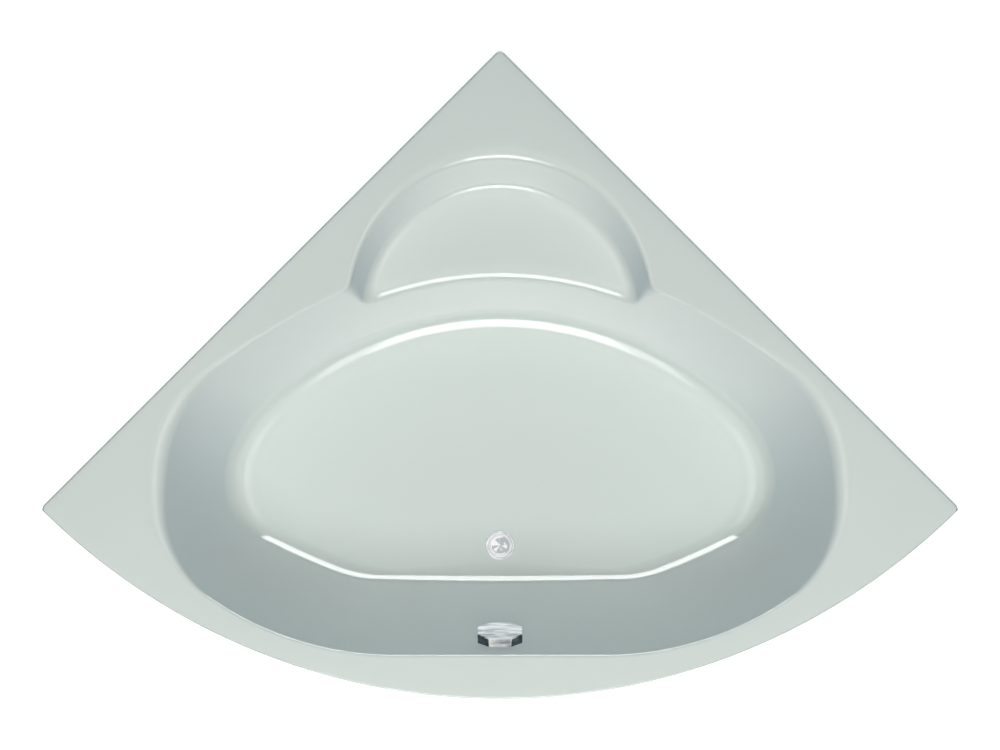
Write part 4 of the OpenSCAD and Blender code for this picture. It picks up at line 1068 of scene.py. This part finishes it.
def relief_group():
    """A faint relief of noise, by its scale, its detail and its height in metres."""
    group, given, result = new_group(
        "faint_relief", [("Vector", "NodeSocketVector", None), ("Scale", "NodeSocketFloat", 100.0),
                         ("Detail", "NodeSocketFloat", 2.0), ("Height", "NodeSocketFloat", 0.0001)],
        [("Normal", "NodeSocketVector")])
    noise = group.nodes.new("ShaderNodeTexNoise")
    bump = group.nodes.new("ShaderNodeBump")
    link = group.links.new
    link(given.outputs["Vector"], noise.inputs["Vector"])
    link(given.outputs["Scale"], noise.inputs["Scale"])
    link(given.outputs["Detail"], noise.inputs["Detail"])
    link(noise.outputs["Fac"], bump.inputs["Height"])
    link(given.outputs["Height"], bump.inputs["Distance"])
    link(bump.outputs["Normal"], result.inputs["Normal"])
    return group


drift = drift_group()
two_tones = tint_group(drift)
faint_relief = relief_group()
print("node groups:", [g.name for g in (drift, two_tones, faint_relief)])


# %% A finish from two tones, a span of roughness and a relief
def new_finish(name, stretch=(1, 1, 1)):
    """A material with its shader and its pattern coordinates."""
    material = bpy.data.materials.new(name)
    material.use_nodes = True
    tree = material.node_tree
    where = tree.nodes.new("ShaderNodeTexCoord")
    mapping = tree.nodes.new("ShaderNodeMapping")
    mapping.inputs["Scale"].default_value = stretch
    tree.links.new(where.outputs["Object"], mapping.inputs["Vector"])
    return material, tree, tree.nodes["Principled BSDF"], mapping.outputs["Vector"]


def use_group(tree, group, vector, values):
    """Places a shared group in a material, with this material's own values."""
    node = tree.nodes.new("ShaderNodeGroup")
    node.node_tree = group
    tree.links.new(vector, node.inputs["Vector"])
    for title, value in values.items():
        node.inputs[title].default_value = value
    return node


def give_tones(tree, shader, vector, scale, tones):
    """Two tones that drift into each other; returns their colour, for a finish that adds to it."""
    tint = use_group(tree, two_tones, vector,
                     {"Scale": scale, "Tone A": (*tones[0], 1), "Tone B": (*tones[1], 1)})
    tree.links.new(tint.outputs["Color"], shader.inputs["Base Color"])
    return tint.outputs["Color"]


def give_gloss(tree, shader, vector, scale, rough, detail=3.0):
    """Roughness that drifts between two values."""
    gloss = use_group(tree, drift, vector,
                      {"Scale": scale, "Detail": detail, "Low": rough[0], "High": rough[1]})
    tree.links.new(gloss.outputs["Value"], shader.inputs["Roughness"])


def give_relief(tree, shader, vector, scale, detail, height):
    """A relief of noise with a height in metres."""
    raised = use_group(tree, faint_relief, vector, {"Scale": scale, "Detail": detail, "Height": height})
    tree.links.new(raised.outputs["Normal"], shader.inputs["Normal"])


def plain_finish(name, tones, tone_scale, rough, rough_scale, relief, stretch=(1, 1, 1), **shader_values):
    """The build that most finishes share; relief is (scale, detail, height)."""
    material, tree, shader, vector = new_finish(name, stretch)
    give_tones(tree, shader, vector, tone_scale, tones)
    give_gloss(tree, shader, vector, rough_scale, rough, detail=4.0)
    give_relief(tree, shader, vector, *relief)
    for title, value in shader_values.items():
        shader.inputs[title.replace("_", " ")].default_value = value
    print("finish:", material.name)
    return material


# %% [markdown]
# Acrylic, laminate and boards
#
# Sanitary acrylic is a glossy, slightly cool white. Its gloss hardly varies, but the sheet is never dead
# flat, so a slow and very low wave is laid over it, and reflected lines waver a little. The laminate shows
# short fibres in yellowish resin, and chipboard is a mosaic of light and dark flakes.

# %% Acrylic
acrylic = plain_finish("acrylic", tones=[(0.605, 0.667, 0.645), (0.590, 0.655, 0.634)], tone_scale=1.6,
                       rough=(0.055, 0.085), rough_scale=7.0, relief=(4.0, 1.0, 0.0003), IOR=1.49)

# %% Laminate with its fibres
FIBRE_BEND = 0.030
FIBRE_LAYERS = [31.0, 47.0]
# A fibre shows by this share and fades out within this part of a cell
FIBRE_SHOWS = 0.75
FIBRE_EDGE = 0.05
FIBRE_COLOUR = (0.80, 0.80, 0.71, 1)
RESIN_TONES = [(0.62, 0.60, 0.44), (0.74, 0.72, 0.60)]


def fibre_layer(tree, vector, scale):
    """Thin bent lines, as short fibres lie in the resin."""
    bend = tree.nodes.new("ShaderNodeTexNoise")
    bend.inputs["Scale"].default_value = scale
    tree.links.new(vector, bend.inputs["Vector"])
    bent = tree.nodes.new("ShaderNodeVectorMath")
    bent.operation = "MULTIPLY_ADD"
    bent.inputs[1].default_value = (FIBRE_BEND, FIBRE_BEND, FIBRE_BEND)
    tree.links.new(bend.outputs["Color"], bent.inputs[0])
    tree.links.new(vector, bent.inputs[2])
    cells = tree.nodes.new("ShaderNodeTexVoronoi")
    cells.feature = "DISTANCE_TO_EDGE"
    cells.inputs["Scale"].default_value = scale
    tree.links.new(bent.outputs["Vector"], cells.inputs["Vector"])
    line = between(tree, cells.outputs["Distance"], FIBRE_EDGE, 0.0)
    return math_node(tree, "MULTIPLY", line, FIBRE_SHOWS)


def laminate_finish():
    """Resin in two tones under two layers of fibres."""
    material, tree, shader, vector = new_finish("laminate")
    resin = give_tones(tree, shader, vector, 14.0, RESIN_TONES)
    lines = math_node(tree, "MAXIMUM", *[fibre_layer(tree, vector, scale) for scale in FIBRE_LAYERS])
    tree.links.new(mix_colours(tree, lines, resin, FIBRE_COLOUR), shader.inputs["Base Color"])
    give_gloss(tree, shader, vector, 30.0, (0.32, 0.6))
    give_relief(tree, shader, vector, 160.0, 4.0, 0.0022)
    return material


laminate = laminate_finish()
print("finish:", laminate.name, "with", len(FIBRE_LAYERS), "layers of fibres")

# %% Chipboard with its flakes
FLAKE_SCALE = 260.0
FLAKE_DARK = (0.34, 0.22, 0.115, 1)
FLAKE_COMMON = (0.56, 0.40, 0.23, 1)
FLAKE_PALE = (0.68, 0.52, 0.33, 1)
FLAKE_COMMON_AT = 0.45


def chipboard_finish():
    """Each cell of the pattern is one flake, with its own tone from dark to pale."""
    material, tree, shader, vector = new_finish("chipboard")
    flakes = tree.nodes.new("ShaderNodeTexVoronoi")
    flakes.inputs["Scale"].default_value = FLAKE_SCALE
    tree.links.new(vector, flakes.inputs["Vector"])
    pick = tree.nodes.new("ShaderNodeSeparateColor")
    tree.links.new(flakes.outputs["Color"], pick.inputs["Color"])
    tones = tree.nodes.new("ShaderNodeValToRGB")
    tones.color_ramp.elements[0].color = FLAKE_DARK
    tones.color_ramp.elements[1].color = FLAKE_PALE
    tones.color_ramp.elements.new(FLAKE_COMMON_AT).color = FLAKE_COMMON
    tree.links.new(pick.outputs[0], tones.inputs["Fac"])
    tree.links.new(tones.outputs["Color"], shader.inputs["Base Color"])
    give_gloss(tree, shader, vector, 60.0, (0.65, 0.85))
    give_relief(tree, shader, vector, 420.0, 4.0, 0.0006)
    return material


chipboard = chipboard_finish()
print("finish:", chipboard.name)

# %% [markdown]
# Metals
#
# The frame is powder coated: a soft sheen over a fine orange-peel relief. Screws, studs and brackets are
# zinc plated, and the plating shows patches of slightly different grey. The fittings are chromed, almost a
# mirror, so their look comes from what they reflect and from a very low wave left by the polishing. The
# knob's flat face carries a painted reflection: light and dark streaks in two tones, drawn out sideways,
# are painted into its chrome's colour. The studs are threaded, and at their small size a wave in the
# relief does for the thread.

# %% Powder coat, zinc and chrome
powder_coat = plain_finish("powder_coat", tones=[(0.085, 0.094, 0.100), (0.110, 0.119, 0.125)],
                           tone_scale=18.0, rough=(0.40, 0.52), rough_scale=25.0,
                           relief=(900.0, 2.0, 0.00025))
zinc = plain_finish("zinc", tones=[(0.56, 0.58, 0.60), (0.68, 0.69, 0.70)], tone_scale=90.0,
                    rough=(0.28, 0.42), rough_scale=40.0, relief=(300.0, 2.0, 0.00008), Metallic=1.0)
chrome = plain_finish("chrome", tones=[(0.84, 0.85, 0.86), (0.93, 0.93, 0.93)], tone_scale=12.0,
                      rough=(0.03, 0.06), rough_scale=60.0, relief=(34.0, 1.0, 0.0010), Metallic=1.0)
# The knob's chrome gets a painted reflection: a dark and a light tone, stretched sideways into streaks, are
# painted into its colour in place of what its face mirrors. The same stretch also draws out its gloss and
# relief.
PAINTED_REFLECTION_STRETCH = (1, 3.5, 3.5)
painted_reflection_chrome = plain_finish("painted_reflection_chrome", tones=[(0.28, 0.31, 0.32), (0.96, 0.96, 0.94)],
                               tone_scale=20.0, rough=(0.03, 0.06), rough_scale=60.0,
                               relief=(20.0, 1.0, 0.0006), stretch=PAINTED_REFLECTION_STRETCH, Metallic=1.0)

# %% Thread on the studs
THREAD_PITCH = 0.00175
THREAD_H = 0.0008
THREAD_TONES = [(0.52, 0.54, 0.56), (0.66, 0.67, 0.68)]
# A wave texture at the scale 1 has bands of this width
WAVE_WIDTH = 0.314


def thread_finish():
    """Zinc with level bands in its relief, one for each turn of the thread."""
    material, tree, shader, vector = new_finish("zinc_thread")
    give_tones(tree, shader, vector, 90.0, THREAD_TONES)
    shader.inputs["Metallic"].default_value = 1.0
    give_gloss(tree, shader, vector, 80.0, (0.25, 0.4))
    turns = tree.nodes.new("ShaderNodeTexWave")
    turns.bands_direction = "Z"
    turns.inputs["Scale"].default_value = WAVE_WIDTH / THREAD_PITCH
    tree.links.new(vector, turns.inputs["Vector"])
    bump = tree.nodes.new("ShaderNodeBump")
    bump.inputs["Distance"].default_value = THREAD_H
    tree.links.new(turns.outputs["Fac"], bump.inputs["Height"])
    tree.links.new(bump.outputs["Normal"], shader.inputs["Normal"])
    return material


zinc_thread = thread_finish()
print(f"finish: {zinc_thread.name}, one turn every {THREAD_PITCH * 1000} mm")

# %% [markdown]
# Rubber and plastics
#
# Seals are dull and almost black. The moulded pieces under the bath are black or white plastic with a fine
# texture from the mould, and the hose is a softer grey. Each differs in gloss as much as in colour.

# %% Rubber and plastics
rubber = plain_finish("rubber", tones=[(0.022, 0.023, 0.025), (0.035, 0.036, 0.038)], tone_scale=40.0,
                      rough=(0.55, 0.75), rough_scale=50.0, relief=(500.0, 2.0, 0.00015))
dark_plastic = plain_finish("dark_plastic", tones=[(0.030, 0.033, 0.036), (0.045, 0.049, 0.052)],
                            tone_scale=25.0, rough=(0.32, 0.48), rough_scale=40.0,
                            relief=(700.0, 2.0, 0.00012))
white_plastic = plain_finish("white_plastic", tones=[(0.74, 0.74, 0.71), (0.80, 0.80, 0.78)],
                             tone_scale=9.0, rough=(0.22, 0.34), rough_scale=30.0,
                             relief=(260.0, 2.0, 0.00006))
hose_plastic = plain_finish("hose_plastic", tones=[(0.23, 0.245, 0.255), (0.29, 0.305, 0.315)],
                            tone_scale=30.0, rough=(0.38, 0.5), rough_scale=40.0,
                            relief=(400.0, 2.0, 0.0001))

# %% [markdown]
# Every node gets its finish
#
# The record says which material each node is made of. Carried-over nodes keep their mesh and only get the
# finish in their material slot. The studs are zinc too, but with a thread, and the knob's chrome has a
# painted reflection in its colour.

# %% Finishes by the record's slots
FINISHES = {"acrylic": acrylic, "glass_fibre": laminate, "chipboard": chipboard, "frame_paint": powder_coat,
            "zinc": zinc, "chrome": chrome, "black_rubber": rubber, "dark_plastic": dark_plastic,
            "white_plastic": white_plastic, "hose_plastic": hose_plastic}
NEW_PIECES = {"acrylic": [shell, panel], "glass_fibre": [backing], "chrome": [knob, waste_ring, plug],
              "hose_plastic": [hose], "black_rubber": [cable]}


def dress(piece, finish):
    """Puts a finish into every material slot of a piece."""
    if not piece.data.materials:
        piece.data.materials.append(finish)
    for holder in piece.material_slots:
        holder.material = finish


for subpart in frame["record"]["subparts"]:
    dress(nodes[subpart["node"]], FINISHES[subpart["material_slot"]])
for name, node in nodes.items():
    if name.startswith("foot_stud"):
        dress(node, zinc_thread)
for slot_name, pieces in NEW_PIECES.items():
    for piece in pieces:
        dress(piece, FINISHES[slot_name])
# The knob's chrome has a painted reflection: light and dark streaks painted into its colour.
dress(knob, painted_reflection_chrome)
print("finishes given to", len(nodes), "nodes and", sum(len(p) for p in NEW_PIECES.values()), "new pieces")

# %% [markdown]
# Floor and world
#
# The photograph shows the bath on pure white, lit softly from above and in front. The floor is pale and
# shows white to the camera. The world is white for the camera. In reflections it is a studio: white above,
# bright in front and behind, bluish at the sides below, with a dark band at the horizon and some grey
# screens, because chrome in front of plain white has no shape. The bath does not show in its own
# reflections, so every gleam comes from the studio and its lamps alone.

# %% A pale floor that stays white to the camera
FLOOR_SIZE = 12
FLOOR_GLOW = 0.90
FLOOR_GREY = (0.55, 0.55, 0.55, 1)
FLOOR_ROUGH = 0.9
WHITE = (1, 1, 1, 1)


def make_floor():
    """The floor lies under the bath and is staging, no part of it."""
    nothing_selected()
    bpy.ops.mesh.primitive_plane_add(size=FLOOR_SIZE, location=(0, 0, 0))
    floor = bpy.context.object
    floor.name = "studio_floor"
    floor.visible_glossy = False
    material = bpy.data.materials.new("studio_floor")
    material.use_nodes = True
    tree = material.node_tree
    shader = tree.nodes["Principled BSDF"]
    shader.inputs["Base Color"].default_value = FLOOR_GREY
    shader.inputs["Roughness"].default_value = FLOOR_ROUGH
    shader.inputs["Emission Color"].default_value = WHITE
    path = tree.nodes.new("ShaderNodeLightPath")
    glow = math_node(tree, "MULTIPLY", path.outputs["Is Camera Ray"], FLOOR_GLOW)
    tree.links.new(glow, shader.inputs["Emission Strength"])
    floor.data.materials.append(material)
    return floor


print("floor:", tuple(round(v, 2) for v in make_floor().dimensions))

# %% A world that is white to the camera and a studio in reflections
WORLD_LIGHT = 0.085
HORIZON = (0.070, 0.098, 0.110, 1)
BELOW_FRONT = (1.25, 1.25, 1.23, 1)
BELOW_BACK = (0.90, 0.97, 1.0, 1)
BELOW_SIDE = (0.31, 0.42, 0.53, 1)
SCREEN = (0.52, 0.55, 0.56, 1)
SCREEN_SCALE = 3.2
SCREENS_MOVED = (0.9, 0.35, 0.2)
SCREEN_EDGE = (0.50, 0.56)
# Directions between which the studio changes, as parts of a unit vector: y from front to back, the others z
FRONT_TO_BACK = (-0.15, 0.15)
TINT_TO_WHITE = (-0.12, 0.0)
HORIZON_BEGINS = (-0.33, -0.26)
HORIZON_ENDS = (0.14, 0.04)
SCREENS_BEGIN = (0.35, 0.45)
# The least level part of a direction, so that straight down has no side
STRAIGHT_DOWN = 0.0001


def studio_colour(tree):
    """Colour of the studio by direction: white above, tinted below, a dark horizon and grey screens."""
    where = tree.nodes.new("ShaderNodeTexCoord").outputs["Generated"]
    parts = tree.nodes.new("ShaderNodeSeparateXYZ")
    tree.links.new(where, parts.inputs["Vector"])
    x, y, z = parts.outputs
    across = math_node(tree, "MULTIPLY", x, x)
    level = math_node(tree, "ADD", across, math_node(tree, "MULTIPLY", y, y))
    sideways = math_node(tree, "DIVIDE", across, math_node(tree, "MAXIMUM", level, STRAIGHT_DOWN))
    lengthways = mix_colours(tree, between(tree, y, *FRONT_TO_BACK), BELOW_FRONT, BELOW_BACK)
    below = mix_colours(tree, sideways, lengthways, BELOW_SIDE)
    colour = mix_colours(tree, between(tree, z, *TINT_TO_WHITE), below, WHITE)
    begun, not_ended = between(tree, z, *HORIZON_BEGINS), between(tree, z, *HORIZON_ENDS)
    colour = mix_colours(tree, math_node(tree, "MULTIPLY", begun, not_ended), colour, HORIZON)
    moved = tree.nodes.new("ShaderNodeMapping")
    moved.inputs["Location"].default_value = SCREENS_MOVED
    tree.links.new(where, moved.inputs["Vector"])
    screens = tree.nodes.new("ShaderNodeTexNoise")
    screens.inputs["Scale"].default_value = SCREEN_SCALE
    screens.inputs["Detail"].default_value = 0.0
    tree.links.new(moved.outputs["Vector"], screens.inputs["Vector"])
    shapes, high_up = between(tree, screens.outputs["Fac"], *SCREEN_EDGE), between(tree, z, *SCREENS_BEGIN)
    return mix_colours(tree, math_node(tree, "MULTIPLY", shapes, high_up), colour, SCREEN, "DARKEN")


def make_world():
    """White at full strength for the camera, the studio in reflections, and a faint even light besides."""
    world = bpy.data.worlds.new("studio")
    bpy.context.scene.world = world
    world.use_nodes = True
    tree = world.node_tree
    background = tree.nodes["Background"]
    path = tree.nodes.new("ShaderNodeLightPath").outputs
    mirrored = math_node(tree, "MAXIMUM", path["Is Glossy Ray"], path["Is Transmission Ray"])
    colour = mix_colours(tree, mirrored, WHITE, studio_colour(tree))
    tree.links.new(colour, background.inputs["Color"])
    level = tree.nodes.new("ShaderNodeMapRange")
    level.inputs["To Min"].default_value = WORLD_LIGHT
    tree.links.new(math_node(tree, "MAXIMUM", path["Is Camera Ray"], mirrored), level.inputs["Value"])
    tree.links.new(level.outputs["Result"], background.inputs["Strength"])


make_world()
unmirrored = [*nodes.values(), *(piece for pieces in NEW_PIECES.values() for piece in pieces)]
for piece in unmirrored:
    piece.visible_glossy = False
print(len(unmirrored), "pieces don't show in reflections")

# %% [markdown]
# Lamps
#
# Three soft lamps give the light: a large one high in front, one lower in front for the back walls and a
# cool one behind for the front wall. Gleam lamps are seen only in reflections. The main one stands low in
# front and draws the white lines along the roundings that lean to it; it has dim wings, so a line fades
# out where the rounding turns away. One behind does the same for the front rounding, and two dim ones at
# the sides light up the ends. They cast no shadow, because a gleam should run on behind the rim, and only
# the acrylic shows them: chrome would turn white.

# %% Lamps
SKY_AT = 7.0
LAMP_AT = 5.0
GLEAM_AT = 6.0
FRONT_GLEAM_AT = 2.0


def lamp(name, azimuth, elevation, distance, size, radiance, colour=(1, 1, 1)):
    """A soft lamp aimed at the bath; radiance is its brightness, azimuth 0 is in front."""
    nothing_selected()
    turn = math.radians(azimuth)
    rise = math.radians(elevation)
    way = Vector((math.sin(turn) * math.cos(rise), -math.cos(turn) * math.cos(rise), math.sin(rise)))
    position = Vector((0, 0, RIM_H / 2)) + distance * way
    facing = way.to_track_quat("Z", "Y").to_euler()
    bpy.ops.object.light_add(type="AREA", location=position, rotation=facing)
    light = bpy.context.object
    light.name = name
    light.data.shape = "RECTANGLE"
    light.data.size = size[0]
    light.data.size_y = size[1]
    light.data.energy = radiance * math.pi * size[0] * size[1]
    light.data.color = colour
    light.visible_camera = False
    light.visible_glossy = False
    return light


gleaming = bpy.data.collections.new("gleaming")
for piece in NEW_PIECES["acrylic"]:
    gleaming.objects.link(piece)


def gleam(name, azimuth, low, high, half_width, radiance, distance=GLEAM_AT):
    """A lamp seen only in reflections, between two elevations and so many degrees to either side."""
    tall = 2 * distance * math.tan(math.radians(high - low) / 2)
    wide = 2 * distance * math.tan(math.radians(half_width))
    light = lamp(name, azimuth, (low + high) / 2, distance, (wide, tall), radiance)
    light.visible_glossy = True
    light.visible_diffuse = False
    light.data.use_shadow = False
    light.light_linking.receiver_collection = gleaming


lamp("sky_lamp", azimuth=0, elevation=70, distance=SKY_AT, size=(4.2, 4.2), radiance=8.1,
     colour=(1, 0.98, 0.965))
lamp("front_lamp", azimuth=0, elevation=38, distance=LAMP_AT, size=(2.2, 2.2), radiance=1.0)
lamp("back_lamp", azimuth=180, elevation=15, distance=LAMP_AT, size=(2.2, 2.2), radiance=2.0,
     colour=(0.45, 0.92, 1.0))
gleam("front_gleam", azimuth=0, low=3, high=30, half_width=14, radiance=8.0, distance=FRONT_GLEAM_AT)
gleam("front_wings", azimuth=0, low=3, high=30, half_width=22, radiance=3.2, distance=FRONT_GLEAM_AT)
gleam("back_gleam", azimuth=180, low=-18, high=15, half_width=35, radiance=10.5)
for name, azimuth in (("right_gleam", 90), ("left_gleam", -90)):
    gleam(name, azimuth, low=38, high=62, half_width=30, radiance=1.7)

# %% [markdown]
# The camera
#
# The photograph was taken from so far above that nothing leans: a parallel projection straight down. Its
# width shows 2.154 metres, which puts the 1400 mm sides at their size in the picture.

# %% Camera
VIEW_WIDTH = 2.154
CAMERA_Z = 3.0


def make_camera():
    """A camera without perspective, straight above the middle of the plan."""
    nothing_selected()
    bpy.ops.object.camera_add(location=(0, 0, CAMERA_Z), rotation=(0, 0, 0))
    camera = bpy.context.object
    camera.data.type = "ORTHO"
    camera.data.ortho_scale = VIEW_WIDTH
    bpy.context.scene.camera = camera


make_camera()
print(f"the camera shows {VIEW_WIDTH} m from side to side")
bpy.context.scene.view_settings.view_transform = "Standard"

# %% Leave nothing selected
nothing_selected()
